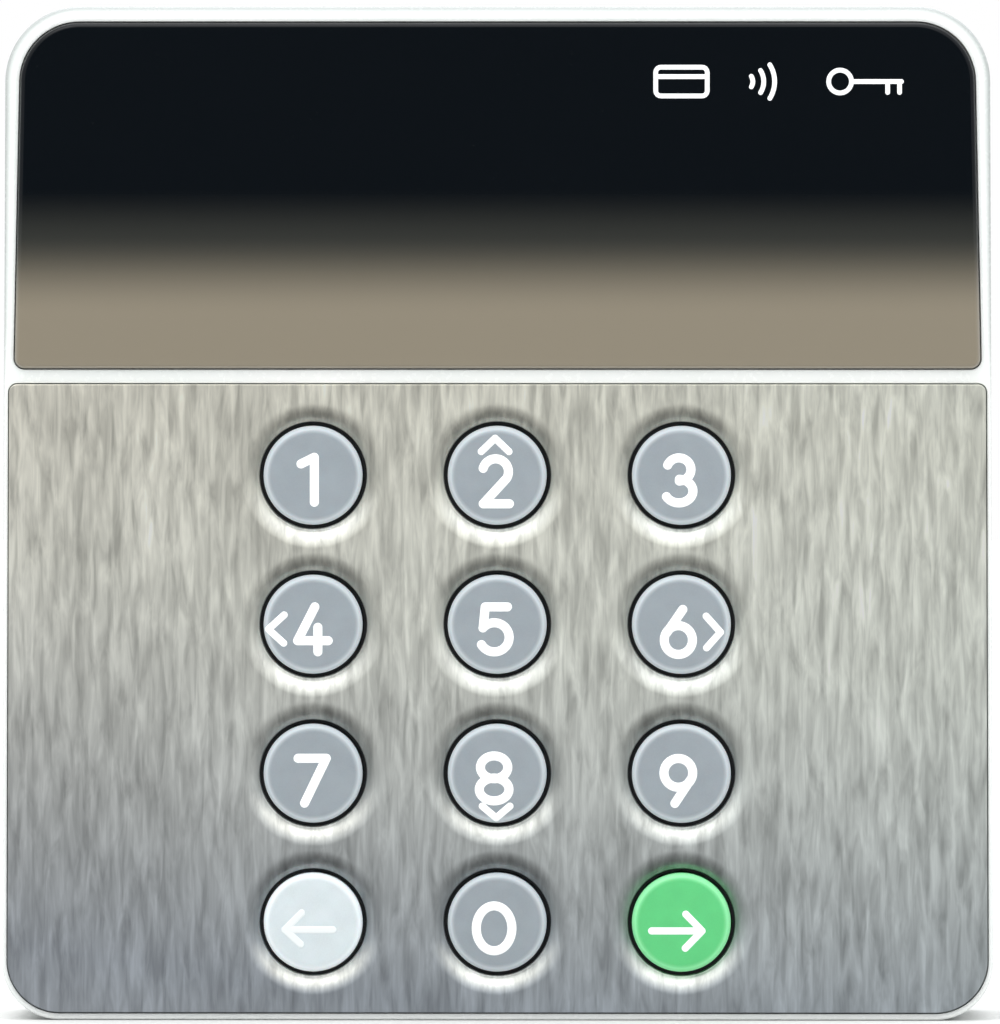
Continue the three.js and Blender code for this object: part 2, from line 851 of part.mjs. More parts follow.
// The plate on the wall: cable window, four screw slots, hooks above, lock screw below.
function makeWallPlate() {
  let plate = slab(housingOutline(rearInset), wallPlateFront, housingDepth);
  const halfCable = cableWindowWidth / 2;
  const low = -cableEntryDrop - cableWindowHeight / 2;
  const cableWindow = rectangle(-halfCable, halfCable, low, low + cableWindowHeight, 2);
  plate = plate.subtract(slab(cableWindow, 0, housingDepth + 1, 3));
  for (const up of sides) {
    for (const side of sides) {
      plate = plate.subtract(wallSlot(side, up, wallSlotWidth / 2, 0, housingDepth + 1));
      const headRoom = wallSlotWidth / 2 + 2;
      plate = plate.subtract(wallSlot(side, up, headRoom, 0, wallPlateFront + 2));
    }
  }
  for (const side of sides) {
    plate = plate.add(hook(side, 0));
  }
  const lockHoleLength = lockScrewLength + wallThickness + 1.5;
  return plate.subtract(lockScrewBore(lockHoleLength, screwFit));
}

const slotEndShare = 0.98; // a full half circle would leave an edge of no length

// A slot with round ends: level at the top, upright at the bottom, so that the plate can be squared.
function wallSlot(side, up, radius, front, back) {
  const straight = (wallSlotLength - wallSlotWidth) / 2;
  const alongX = up > 0 ? straight : 0;
  const alongY = up > 0 ? 0 : straight;
  const x = side * wallSlotX;
  const y = up * wallSlotY;
  const shape = rectangle(
    x - alongX - radius,
    x + alongX + radius,
    y - alongY - radius,
    y + alongY + radius,
    radius * slotEndShare,
  );
  return slab(shape, front, back, 2);
}

// ---------------------------------------------------------------- screws

// Pan-head screw: the head's underside is at the depth given, the shank runs to the front.
function smallScrew(headFront, shankLength) {
  const rim = smallHeadRadius;
  const profile = [
    [0, headFront - shankLength],
    [smallShankRadius * 0.6, headFront - shankLength],
    [smallShankRadius, headFront - shankLength + 0.5],
    [smallShankRadius, headFront],
    [rim, headFront],
    [rim, headFront + smallHeadHeight * 0.55],
    [rim * 0.75, headFront + smallHeadHeight],
    [0, headFront + smallHeadHeight],
  ];
  const screw = turned(0, 0, profile, smallSides);
  const recess = headFront + smallHeadHeight * 0.4;
  const recessHalfLength = 1.15;
  const recessHalfWidth = 0.3;
  const slot = block(
    -recessHalfLength,
    recessHalfLength,
    -recessHalfWidth,
    recessHalfWidth,
    recess,
    headFront + smallHeadHeight + 1,
  );
  return screw.subtract(slot);
}

function makeLockScrew() {
  const geometry = new THREE.CylinderGeometry(
    lockScrewRadius,
    lockScrewRadius,
    lockScrewLength,
    smallSides,
  );
  const bottom = -halfHeight + 0.4;
  const screw = toSolid(
    geometry.translate(0, bottom + lockScrewLength / 2, housingDepth - lockDepth),
  );
  const key = new THREE.CylinderGeometry(0.5, 0.5, 2.4, 6);
  return screw.subtract(toSolid(key.translate(0, bottom, housingDepth - lockDepth)));
}

// ---------------------------------------------------------------- assembly

const panel = new THREE.Group();

function place(name, solid, material, x = 0, y = 0) {
  const mesh = new THREE.Mesh(toGeometry(solid), material);
  mesh.name = name;
  mesh.position.set(x, y, 0);
  panel.add(mesh);
}

function placeEach(name, solid, material, places) {
  places.forEach(([x, y], index) => place(`${name}_${index + 1}`, solid, material, x, y));
}

place("front_housing", makeHousing(), whiteAcrylic);
place("window_lens", makeWindowLens(), smokedGloss);
place("window_adhesive", makeWindowAdhesive(), bond);
place("face_plate", makeFacePlate(), brushedSteel);
place("plate_adhesive", makePlateAdhesive(), bond);
place("key_guide", makeKeyGuide(), darkPlastic);

const keySolid = makeKey();
const keyFinish = { key_back: clearKey, key_enter: greenKey };
for (const { name, x, y } of keyPlaces) {
  place(name, keySolid, keyFinish[name] ?? greyKey, x, y);
}
place("key_frame", makeKeyFrame(), darkPlastic);
place("key_mat", makeKeyMat(), silicone);
place("key_board", makeKeyBoard(), boardGreen);
const frameScrewLength = keyBoardBack - plateSeat - guideSkin;
placeEach("board_screw", smallScrew(keyBoardBack + seatGap, frameScrewLength), zincSteel, frameScrews);

place("light_guide", makeLightGuide(), clearGuide);
[-1, 0, 1].forEach((spot, index) => {
  place(`status_led_${index + 1}`, makeStatusLed(spot), ledYellow);
});

place("antenna_board", makeAntennaBoard(), boardGreen);
place("antenna_coil", makeAntennaCoil(), copper);
place("ferrite_sheet", makeFerriteSheet(), ferrite);
const antennaScrewLength = antennaBack + seatGap - floorBack + 0.9;
placeEach(
  "antenna_screw",
  smallScrew(antennaBack + seatGap, antennaScrewLength),
  zincSteel,
  antennaScrews,
);

place("main_board", makeMainBoard(), boardGreen);
placeEach("main_screw", smallScrew(backOfBoard, boardThickness + 3.5), zincSteel, standoffs);
place("processor_chip", makeProcessorChip(), chipBlack);
place("radio_chip", makeRadioChip(), chipBlack);
place("clock_crystal", makeClockCrystal(), canSilver);
place("supply_capacitor", makeSupplyCapacitor(), canSilver);
place("buzzer", makeBuzzer(), chipBlack);
place("terminal_block", makeTerminalBlock(), terminalGreen);
place("board_header", makeBoardHeader(), chipBlack);
place("board_socket", makeBoardSocket(), chipBlack);
place("tamper_switch", makeTamperSwitch(), chipBlack);
place("tamper_plunger", makeTamperPlunger(), clearKey);

place("housing_seal", makeHousingSeal(), rubber);
place("rear_cover", makeRearCover(), darkPlastic);
place("cable_grommet", makeCableGrommet(), rubber);
const coverScrewSeat = coverBack - counterboreDepth + seatGap;
placeEach("cover_screw", smallScrew(coverScrewSeat, 7), zincSteel, cornerPosts);
place("wall_plate", makeWallPlate(), greyPlastic);
place("lock_screw", makeLockScrew(), zincSteel);

panel.rotation.x = Math.PI / 2;

const reader = new THREE.Group();
reader.add(panel);

export default reader;
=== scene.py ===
import math

import bmesh
import bpy
import numpy as np
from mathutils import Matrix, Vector
from mathutils.geometry import tessellate_polygon


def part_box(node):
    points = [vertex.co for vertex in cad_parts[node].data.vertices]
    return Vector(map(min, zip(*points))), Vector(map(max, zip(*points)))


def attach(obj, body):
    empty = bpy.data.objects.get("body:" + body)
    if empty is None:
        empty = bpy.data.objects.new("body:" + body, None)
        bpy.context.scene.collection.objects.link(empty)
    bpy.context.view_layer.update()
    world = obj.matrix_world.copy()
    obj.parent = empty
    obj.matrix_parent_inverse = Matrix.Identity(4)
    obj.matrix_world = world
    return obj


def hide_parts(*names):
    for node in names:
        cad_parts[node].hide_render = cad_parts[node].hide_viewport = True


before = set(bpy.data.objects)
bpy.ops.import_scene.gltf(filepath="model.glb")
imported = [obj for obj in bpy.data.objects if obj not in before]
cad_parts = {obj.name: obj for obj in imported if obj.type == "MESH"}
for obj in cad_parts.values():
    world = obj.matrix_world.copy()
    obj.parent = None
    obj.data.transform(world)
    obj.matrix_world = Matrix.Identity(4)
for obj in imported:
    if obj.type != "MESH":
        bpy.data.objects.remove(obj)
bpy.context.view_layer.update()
print("frame loaded,", len(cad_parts), "nodes")

# Shapes below are worked out in millimetres as (x, height, depth). Depth is counted back from the
# steel plate's face, so the wall is at wallDepth and the keys stand a little in front of zero.
mm = 0.001
mergeGap = 0.001 * mm  # points closer than this are one point
scene = bpy.context.scene


def boxOf(node):
    # lowest and highest corner of a CAD node as (x, depth, height), in millimetres
    low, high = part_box(node)
    shift = np.array([0.0, wallDepth, 0.0])
    return np.array(low) / mm + shift, np.array(high) / mm + shift


wallDepth = -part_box("face_plate")[0].y / mm
housingLow, housingHigh = boxOf("front_housing")
plateLow, plateHigh = boxOf("face_plate")
lensLow, lensHigh = boxOf("window_lens")
wallPlateHigh = boxOf("wall_plate")[1]


# surfaces on grids

def wrapped(rows):
    # four-cornered faces between neighbouring rings, each ring closed on itself
    count, length = rows.shape[:2]
    index = np.arange(count * length).reshape(count, length)
    after = np.roll(index, -1, axis=1)
    quads = np.stack([index[:-1], after[:-1], after[1:], index[1:]], axis=-1)
    return rows.reshape(-1, 3), quads.reshape(-1, 4)


def filled(*rings):
    # the flat area inside the first ring and outside the others, cut into triangles
    triangles = tessellate_polygon([[Vector(point) for point in ring] for ring in rings])
    return np.concatenate(rings), np.array(triangles)


def roundedOutline(corners, arcSteps=16, sideSteps=1):
    # each corner (x, height, radius) becomes centre + radius * (cos a, sin a), a running between its
    # two sides' directions; straight stretches are cut into equal steps; gives points and normals
    spots, facing = [], []
    count = len(corners)
    for i, (x, y, radius) in enumerate(corners):
        here = np.array([x, y])
        back = np.array(corners[i - 1][:2]) - here
        ahead = np.array(corners[(i + 1) % count][:2]) - here
        back, ahead = back / np.linalg.norm(back), ahead / np.linalg.norm(ahead)
        half = math.acos(np.clip(back @ ahead, -1, 1)) / 2
        inward = (back + ahead) / np.linalg.norm(back + ahead)
        centre = here + inward * radius / math.sin(half)
        first = here + back * radius / math.tan(half) - centre
        start = math.atan2(first[1], first[0])
        angle = start + np.linspace(0, math.pi - 2 * half, arcSteps + 1)
        normal = np.stack([np.cos(angle), np.sin(angle)], axis=-1)
        spots.append(centre + radius * normal)
        facing.append(normal)
    points, normals = [], []
    for i in range(count):
        points.append(spots[i])
        normals.append(facing[i])
        share = np.linspace(0, 1, sideSteps + 1)[1:-1, None]
        points.append(spots[i][-1] * (1 - share) + spots[(i + 1) % count][0] * share)
        normals.append(np.repeat(facing[i][-1:], len(share), axis=0))
    return np.concatenate(points), np.concatenate(normals)


def carried(outline, section):
    # a section of (inset, depth) carried round an outline: point - normal * inset, at that depth
    points, normals = outline
    section = np.asarray(section, float)
    if section.ndim == 2:
        section = np.repeat(section[:, None, :], len(points), axis=1)
    flat = points[None] - normals[None] * section[..., :1]
    return np.concatenate([flat, section[..., 1:]], axis=-1)


def closedSlab(outline, section):
    # the carried section with its first and last rings filled, so that it is one closed body
    rows = carried(outline, section)
    return [wrapped(rows), filled(rows[0]), filled(rows[-1])]


def sectionOf(*pieces):
    # joins single (inset, depth) pairs and arcs into one section
    return np.concatenate([np.atleast_2d(np.asarray(piece, float)) for piece in pieces])


def roundEdgedSection(front, back, frontRound, backRound, guard=0.05):
    # side of a slab from its back face to its front face; each edge is a quarter round, where the
    # inset is round * (1 - sin a) and the depth stands off the face by round * (1 - cos a); a guard
    # ring keeps each flat face's shading flat
    turn = np.linspace(0, math.pi / 2, 7)
    start, end = 1 - np.cos(turn), 1 - np.sin(turn)
    backEdge = np.stack([backRound * end, back - backRound * start], axis=-1)
    frontEdge = np.stack([frontRound * start, front + frontRound * end], axis=-1)
    return sectionOf([backRound + guard, back], backEdge, frontEdge, [frontRound + guard, front])


def turned(centre, profile, segments=96, along="depth"):
    # radius and position pairs carried round a circle: centre + radius * (cos a, sin a)
    angle = np.linspace(0, 2 * math.pi, segments, endpoint=False)
    radius, place = np.asarray(profile, float).T
    across = centre[0] + np.outer(radius, np.cos(angle))
    up = centre[1] + np.outer(radius, np.sin(angle))
    place = np.repeat(place[:, None], segments, axis=1)
    order = [across, up, place] if along == "depth" else [across, place, up]
    return wrapped(np.stack(order, axis=-1))


def rod(centre, radius, front, back, segments=48, along="depth"):
    # a plain round bar, used to cut holes and to stand posts
    return turned(centre, [(0, front), (radius, front), (radius, back), (0, back)], segments, along)


def meshOf(name, parts):
    # joins point and face arrays into one closed mesh in metres, with its faces pointing out
    points, faces, used = [], [], 0
    for spots, corners in parts:
        points.append(spots)
        faces += (corners + used).tolist()
        used += len(spots)
    x, height, depth = np.concatenate(points).T
    world = np.stack([x, depth - wallDepth, height], axis=-1) * mm
    mesh = bpy.data.meshes.new(name)
    mesh.from_pydata(world.tolist(), [], faces)
    work = bmesh.new()
    work.from_mesh(mesh)
    bmesh.ops.remove_doubles(work, verts=work.verts, dist=mergeGap)
    bmesh.ops.dissolve_degenerate(work, edges=work.edges, dist=mergeGap)
    bmesh.ops.recalc_face_normals(work, faces=work.faces)
    work.to_mesh(mesh)
    work.free()
    return mesh


def joined(mesh, tool, how):
    # UNION adds the tool's parts to a closed mesh, DIFFERENCE cuts them out of it
    body = bpy.data.objects.new("work", mesh)
    cutter = bpy.data.objects.new("tool", meshOf("tool", tool))
    for item in (body, cutter):
        scene.collection.objects.link(item)
    modifier = body.modifiers.new("join", "BOOLEAN")
    modifier.operation, modifier.object, modifier.solver = how, cutter, "MANIFOLD"
    bpy.context.view_layer.update()
    result = bpy.data.meshes.new_from_object(body.evaluated_get(bpy.context.evaluated_depsgraph_get()))
    for item in (body, cutter):
        bpy.data.objects.remove(item)
    return result


def makePiece(name, mesh, finish, body, slot, *nodes, sharp=32):
    # turns a mesh into a piece with smooth shading that breaks where faces meet at a sharper angle
    mesh.name = name
    mesh.shade_smooth()
    mesh.set_sharp_from_angle(angle=math.radians(sharp))
    mesh.materials.clear()
    mesh.materials.append(finish)
    piece = bpy.data.objects.new(name, mesh)
    scene.collection.objects.link(piece)
    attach(piece, body)
    if nodes:
        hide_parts(*nodes)


# finishes

def nodeIn(tree, kind, settings=(), **inputs):
    # adds a shader node; an input is a number, a colour or another node's output
    made = tree.nodes.new("ShaderNode" + kind)
    for key, value in dict(settings).items():
        setattr(made, key, value)
    for key, value in inputs.items():
        socket = made.inputs[int(key[1:])] if key[0] == "i" and key[1:].isdigit() else made.inputs[key]
        if isinstance(value, bpy.types.NodeSocket):
            tree.links.new(value, socket)
        else:
            socket.default_value = value
    return made


def startFinish(name, **sockets):
    # an empty material with a Principled shader; fixed values go straight on its sockets
    material = bpy.data.materials.new(name)
    material.use_nodes = True
    tree = material.node_tree
    tree.nodes.clear()
    output = tree.nodes.new("ShaderNodeOutputMaterial")
    shader = tree.nodes.new("ShaderNodeBsdfPrincipled")
    tree.links.new(shader.outputs[0], output.inputs[0])
    for key, value in sockets.items():
        shader.inputs[socketNames[key]].default_value = value
    return material, tree, shader


socketNames = {
    "metal": "Metallic", "ior": "IOR", "coat": "Coat Weight", "coatRough": "Coat Roughness",
    "under": "Subsurface Weight", "underScale": "Subsurface Scale", "clear": "Transmission Weight",
    "stretch": "Anisotropic", "specular": "Specular IOR Level", "sheen": "Sheen Weight",
}


def place(tree, scale):
    # Object coordinates in metres, squeezed so that one noise cell is the given size in millimetres
    spot = tree.nodes.new("ShaderNodeTexCoord").outputs["Object"]
    steps = [1 / (size * mm) for size in scale]
    return nodeIn(tree, "Mapping", i0=spot, i3=steps).outputs[0]


def grain(tree, scale, detail=3.0, rough=0.5, wave=0.0):
    # soft noise between 0 and 1 whose cells have the given size in millimetres along x, depth,
    # height; the wave bends them
    size = scale if isinstance(scale, tuple) else (scale,) * 3
    noise = nodeIn(tree, "TexNoise", i0=place(tree, size), Scale=1.0, Detail=detail, Roughness=rough,
                   Distortion=wave)
    return noise.outputs[0]


def ranged(tree, value, low, high, newLow=0.0, newHigh=1.0, smooth=False):
    # moves a value from one range to another, held at both ends
    kind = {"interpolation_type": "SMOOTHSTEP" if smooth else "LINEAR", "clamp": True}
    return nodeIn(tree, "MapRange", kind, i0=value, i1=low, i2=high, i3=newLow, i4=newHigh).outputs[0]


def stretched(tree, noise, low=0.0, high=1.0):
    # soft noise keeps mostly between 0.3 and 0.7, which becomes low to high
    return ranged(tree, noise, 0.3, 0.7, low, high)


def blended(tree, share, first, second, kind="MIX"):
    # mixes two colours by a share
    mix = nodeIn(tree, "Mix", {"data_type": "RGBA", "blend_type": kind, "clamp_factor": True},
                 i0=share, i6=first, i7=second)
    return mix.outputs[2]


def figured(tree, how, first, second=0.0):
    # plain arithmetic on two values
    return nodeIn(tree, "Math", {"operation": how}, i0=first, i1=second).outputs[0]


def bumped(tree, shader, height, depth):
    # raises the surface by height times a depth in millimetres
    bump = nodeIn(tree, "Bump", i0=1.0, i1=depth * mm, Height=height)
    tree.links.new(bump.outputs[0], shader.inputs["Normal"])


def axisOf(tree, axis):
    # one Object coordinate in metres
    spot = tree.nodes.new("ShaderNodeTexCoord").outputs["Object"]
    return nodeIn(tree, "SeparateXYZ", i0=spot).outputs[axis]


def behind(tree, face, span):
    # 0 to 1 as a point goes from the first to the second distance behind a face, in millimetres
    start, end = [(face + far - wallDepth) * mm for far in span]
    return ranged(tree, axisOf(tree, 1), start, end)


def colour(red, green, blue):
    # a screen colour of 0 to 255 as linear light
    parts = np.array([red, green, blue]) / 255
    linear = np.where(parts <= 0.04045, parts / 12.92, ((parts + 0.055) / 1.055) ** 2.4)
    return (*linear.tolist(), 1.0)


def shaded(base, factor):
    # a colour made lighter or darker
    return (*[min(part * factor, 1.0) for part in base[:3]], 1.0)


def mouldedFinish(name, tint, spread=0.06, cell=0.35, cloud=9.0, relief=0.006, rough=(0.4, 0.55),
                  **sockets):
    # a moulded or coated surface: fine spark texture in colour and relief, cloudy change of gloss
    material, tree, shader = startFinish(name, **sockets)
    fine, wide = grain(tree, cell), grain(tree, cloud, 4.0)
    share = figured(tree, "ADD", figured(tree, "MULTIPLY", fine, 0.6), figured(tree, "MULTIPLY", wide, 0.4))
    share = ranged(tree, share, 0.35, 0.65)
    mixed = blended(tree, share, shaded(tint, 1 - spread), shaded(tint, 1 + spread))
    tree.links.new(mixed, shader.inputs["Base Color"])
    tree.links.new(stretched(tree, wide, *rough), shader.inputs["Roughness"])
    bumped(tree, shader, fine, relief)
    return material


# these colours paint reflection onto the plate: light at the top, dark at the foot, warm on the left and
# cool on the right; they also paint a highlight low in each dish and shade round the rest of it
steel = {"top": colour(240, 238, 225), "middle": colour(232, 233, 224), "bottom": colour(169, 176, 184),
         "leftTint": (1.025, 1.0, 0.97, 1.0), "rightTint": (1.01, 1.035, 1.03, 1.0), "slant": 0.14,
         "footEnd": -11.3, "topStart": -12.0, "dishHighlight": colour(244, 245, 239), "dishShine": 0.9,
         "dishShade": 0.13, "lineWidth": 0.95, "lineLength": 6.0, "wave": 0.45, "lineRelief": 0.003,
         "lines": (0.68, 1.2), "hairs": (0.95, 1.04), "clouds": (0.90, 1.08), "rough": (0.32, 0.44)}


def brushedFinish():
    # brushed steel: noise stretched up the panel gives the lines, two widths of them; the colour runs
    # from a warm light top to a cooler dark foot, by height + slant * x, and from warm on the left to cool
    # on the right, which is painted reflection; it also has a painted highlight in the lower half of each
    # dish and painted shade in the rest of it, over the dish's own reflections
    material, tree, shader = startFinish("brushedSteel", metal=1.0, stretch=0.65)
    line, length = steel["lineWidth"], steel["lineLength"]
    fine = grain(tree, (line, line, length), 3.0, 0.55, steel["wave"])
    hair = grain(tree, (line * 0.25, line * 0.25, length * 1.8), 2.0, 0.6)
    broad = grain(tree, (line * 7, line * 7, length * 4.5), 4.0)
    # painted reflection: a warm light top and a cool dark foot, leaning with x
    lean = figured(tree, "MULTIPLY", axisOf(tree, 0), steel["slant"])
    height = figured(tree, "ADD", axisOf(tree, 2), lean)
    low, high = plateLow[2] * mm, plateHigh[2] * mm
    rise = ranged(tree, height, low, steel["footEnd"] * mm)
    lower = blended(tree, rise, steel["bottom"], steel["middle"])
    tint = blended(tree, ranged(tree, height, steel["topStart"] * mm, high), lower, steel["top"])
    # painted highlight at the foot of each dish and painted shade round the rest, over the dish's own
    # reflections
    dish = nodeIn(tree, "Attribute", {"attribute_name": "dishLight"}).outputs["Fac"]
    shine = ranged(tree, dish, 0.0, 1.0, 0.0, steel["dishShine"])
    shade = ranged(tree, dish, 0.0, -0.5, 0.0, steel["dishShade"])
    tint = blended(tree, shade, blended(tree, shine, tint, steel["dishHighlight"]), (0.0, 0.0, 0.0, 1.0))
    # painted reflection: warmer on the left, cooler on the right
    side = ranged(tree, axisOf(tree, 0), plateLow[0] * mm, plateHigh[0] * mm)
    tint = blended(tree, 1.0, tint, blended(tree, side, steel["leftTint"], steel["rightTint"]), "MULTIPLY")
    lines = stretched(tree, fine, *steel["lines"])
    hairs = stretched(tree, hair, *steel["hairs"])
    clouds = stretched(tree, broad, *steel["clouds"])
    level = figured(tree, "MULTIPLY", figured(tree, "MULTIPLY", lines, hairs), clouds)
    scaled = nodeIn(tree, "VectorMath", {"operation": "SCALE"}, i0=tint, i3=level)
    tree.links.new(scaled.outputs[0], shader.inputs["Base Color"])
    tree.links.new(stretched(tree, fine, *steel["rough"]), shader.inputs["Roughness"])
    bumped(tree, shader, figured(tree, "ADD", fine, hair), steel["lineRelief"])
    return material


# dark is the window's own colour; middle and tan, towards its foot, are a painted reflection
window = {"dark": colour(11, 15, 19), "middle": colour(50, 51, 48), "tan": colour(131, 123, 108),
          "fadeTop": 33.0, "fadeMiddle": 26.6, "overlap": 1.5, "fadeEnd": 20.0, "rim": (0.01, 0.16),
          "rimHighlight": 0.07, "edge": (0.28, 0.5), "edgeShade": 0.62, "rough": (0.05, 0.09)}


def windowFinish():
    # smoked glossy window: black above, fading to a warm grey near its foot that is a painted reflection of
    # the pale ground; in the grey part the rounded edge has a painted highlight and its very rim painted
    # shade; very faint wiping marks in the gloss
    material, tree, shader = startFinish("smokedWindow", ior=1.5, specular=0.22)
    height = axisOf(tree, 2)
    lower = ranged(tree, height, window["fadeTop"] * mm, window["fadeMiddle"] * mm, smooth=True)
    first = blended(tree, lower, window["dark"], window["middle"])
    lastStart = (window["fadeMiddle"] + window["overlap"]) * mm
    last = ranged(tree, height, lastStart, window["fadeEnd"] * mm, smooth=True)
    tint = blended(tree, last, first, window["tan"])
    # painted highlight on the rounded edge in the grey part, and painted shade on its very rim
    rim = figured(tree, "MULTIPLY", behind(tree, lensLow[1], window["rim"]), last)
    light = blended(tree, window["rimHighlight"], tint, (1.0, 1.0, 1.0, 1.0))
    base = blended(tree, rim, tint, light)
    dark = blended(tree, 1.0, tint, (*[window["edgeShade"]] * 3, 1.0), "MULTIPLY")
    base = blended(tree, behind(tree, lensLow[1], window["edge"]), base, dark)
    dust = ranged(tree, grain(tree, 0.12, 2.0), 0.72, 0.8, 0.0, 0.02)
    base = blended(tree, dust, base, (0.8, 0.8, 0.78, 1.0))
    tree.links.new(base, shader.inputs["Base Color"])
    wipes = grain(tree, (14.0, 14.0, 5.0), 5.0, 0.6)
    tree.links.new(stretched(tree, wipes, *window["rough"]), shader.inputs["Roughness"])
    bumped(tree, shader, grain(tree, 6.0, 1.0), 0.002)
    return material


acrylic = {"cloudy": colour(234, 238, 235), "clear": colour(241, 242, 240), "side": colour(183, 188, 186),
           "sideShadeSpan": (0.01, 0.5), "rough": (0.2, 0.3)}


def acrylicFinish():
    # milky white acrylic: light scatters under the skin, and away from the face it is painted greyer as
    # shade
    material, tree, shader = startFinish("whiteAcrylic", ior=1.49, under=0.25, underScale=0.0012, coat=0.2,
                                         coatRough=0.08)
    shader.inputs["Subsurface Radius"].default_value = (1.0, 1.0, 0.95)
    cloud, fine = grain(tree, 14.0, 4.0), grain(tree, 0.5)
    tint = blended(tree, stretched(tree, cloud), acrylic["cloudy"], acrylic["clear"])
    # painted shade on the rounded edge and the sides
    tint = blended(tree, behind(tree, housingLow[1], acrylic["sideShadeSpan"]), tint, acrylic["side"])
    tree.links.new(tint, shader.inputs["Base Color"])
    tree.links.new(stretched(tree, fine, *acrylic["rough"]), shader.inputs["Roughness"])
    bumped(tree, shader, fine, 0.0015)
    return material


keyMould = {"keyHighlightSpan": (0.002, 0.12), "keyShadeSpan": (0.55, 1.1), "mottle": 0.05, "speck": 1.12,
            "rough": (0.32, 0.46)}


def keyFinish(name, cap, rim, foot):
    # a moulded key: its face a mottled tone with fine specks, a painted highlight on its rounded edge and
    # painted shade on its side
    material, tree, shader = startFinish(name, ior=1.5, under=0.12, underScale=0.0008)
    front = boxOf("key_5")[0][1]
    edge, side = behind(tree, front, keyMould["keyHighlightSpan"]), behind(tree, front, keyMould["keyShadeSpan"])
    fine, cloud = grain(tree, 0.16, 3.0), grain(tree, 2.2, 3.0)
    low, high = shaded(cap, 1 - keyMould["mottle"]), shaded(cap, 1 + keyMould["mottle"])
    face = blended(tree, stretched(tree, cloud), low, high)
    face = blended(tree, ranged(tree, fine, 0.35, 0.7, 0.0, 0.35), face, shaded(cap, keyMould["speck"]))
    # painted highlight on the rounded edge, then painted shade down the side
    tint = blended(tree, edge, face, rim)
    tint = blended(tree, side, tint, foot)
    tree.links.new(tint, shader.inputs["Base Color"])
    tree.links.new(stretched(tree, fine, *keyMould["rough"]), shader.inputs["Roughness"])
    bumped(tree, shader, fine, 0.004)
    return material


def boardFinish():
    # solder mask over copper: thin lines in a grid show through the green as a lighter shade
    material, tree, shader = startFinish("circuitBoard", coat=0.3)
    spot = place(tree, (2.54, 2.54, 2.54))
    brick = nodeIn(tree, "TexBrick", {"offset": 0.37, "squash": 0.6}, i0=spot, i1=colour(22, 92, 58),
                   i2=colour(18, 78, 50), i3=colour(40, 122, 80))
    brick.inputs["Scale"].default_value = 1.0
    brick.inputs["Mortar Size"].default_value = 0.03
    tint = blended(tree, stretched(tree, grain(tree, 3.0)), brick.outputs[0], colour(20, 84, 54))
    tree.links.new(tint, shader.inputs["Base Color"])
    tree.links.new(stretched(tree, grain(tree, 1.2), 0.3, 0.45), shader.inputs["Roughness"])
    bumped(tree, shader, brick.outputs[1], 0.02)
    return material


def metalFinish(name, tint, rough=(0.2, 0.36), cell=0.5):
    # plated metal: faint mottling in colour and gloss, fine turning marks
    material, tree, shader = startFinish(name, metal=1.0)
    cloud, fine = grain(tree, cell * 5, 4.0), grain(tree, (cell, cell * 0.2, cell), 3.0)
    mixed = blended(tree, cloud, shaded(tint, 0.85), shaded(tint, 1.08))
    tree.links.new(mixed, shader.inputs["Base Color"])
    tree.links.new(stretched(tree, fine, *rough), shader.inputs["Roughness"])
    bumped(tree, shader, fine, 0.004)
    return material


finishes = {
    "white_acrylic": acrylicFinish(),
    "smoked_window": windowFinish(),
    "brushed_plate": brushedFinish(),
    # each key's second colour is a painted highlight for its rounded edge, and its third is painted shade
    # for its side
    "grey_key": keyFinish("greyKey", colour(141, 149, 155), colour(188, 196, 201), colour(116, 122, 128)),
    "clear_key": keyFinish("milkyKey", colour(201, 210, 213), colour(229, 236, 239), colour(186, 195, 199)),
    "green_key": keyFinish("greenKey", colour(87, 193, 119), colour(140, 230, 164), colour(56, 142, 84)),
    "bonding_tape": mouldedFinish("bondingTape", colour(48, 48, 51), 0.12, 0.4, rough=(0.7, 0.85)),
    "dark_plastic": mouldedFinish("blackPlastic", colour(40, 42, 45), 0.15, 0.3, rough=(0.45, 0.6)),
    "grey_plastic": mouldedFinish("greyPlastic", colour(158, 161, 163), 0.06, 0.3, relief=0.012),
    "black_rubber": mouldedFinish("blackRubber", colour(34, 35, 37), 0.15, 0.25, rough=(0.65, 0.8),
                                  sheen=0.1),
    "silicone": mouldedFinish("siliconeMat", colour(202, 205, 200), 0.04, 0.5, under=0.2, underScale=0.001),
    "circuit_board": boardFinish(),
    "clear_acrylic": mouldedFinish("clearGuide", colour(232, 241, 243), 0.02, 1.0, rough=(0.05, 0.1),
                                   clear=0.7),
    "copper": metalFinish("copperTrack", colour(206, 132, 86)),
    "ferrite": mouldedFinish("ferriteSheet", colour(52, 51, 53), 0.2, 0.2, rough=(0.5, 0.7)),
    "chip_black": mouldedFinish("chipBody", colour(28, 29, 31), 0.2, 0.2, rough=(0.5, 0.65)),
    "bright_can": metalFinish("brightCan", colour(208, 211, 214), (0.16, 0.28)),
    "terminal_green": mouldedFinish("terminalGreen", colour(52, 150, 98), 0.06, 0.3),
    "zinc_steel": metalFinish("zincSteel", colour(196, 200, 205), (0.22, 0.38)),
    "lamp_yellow": mouldedFinish("lampResin", colour(240, 230, 168), 0.03, 0.4, rough=(0.2, 0.3), under=0.3,
                                 underScale=0.0006),
}
printWhite = mouldedFinish("printWhite", colour(250, 251, 251), 0.02, 0.12, relief=0.002, rough=(0.35, 0.5))
printFaint = mouldedFinish("printFaint", colour(228, 232, 233), 0.02, 0.12, relief=0.002, rough=(0.3, 0.4))
print("finishes made,", len(finishes) + 2)


# housing

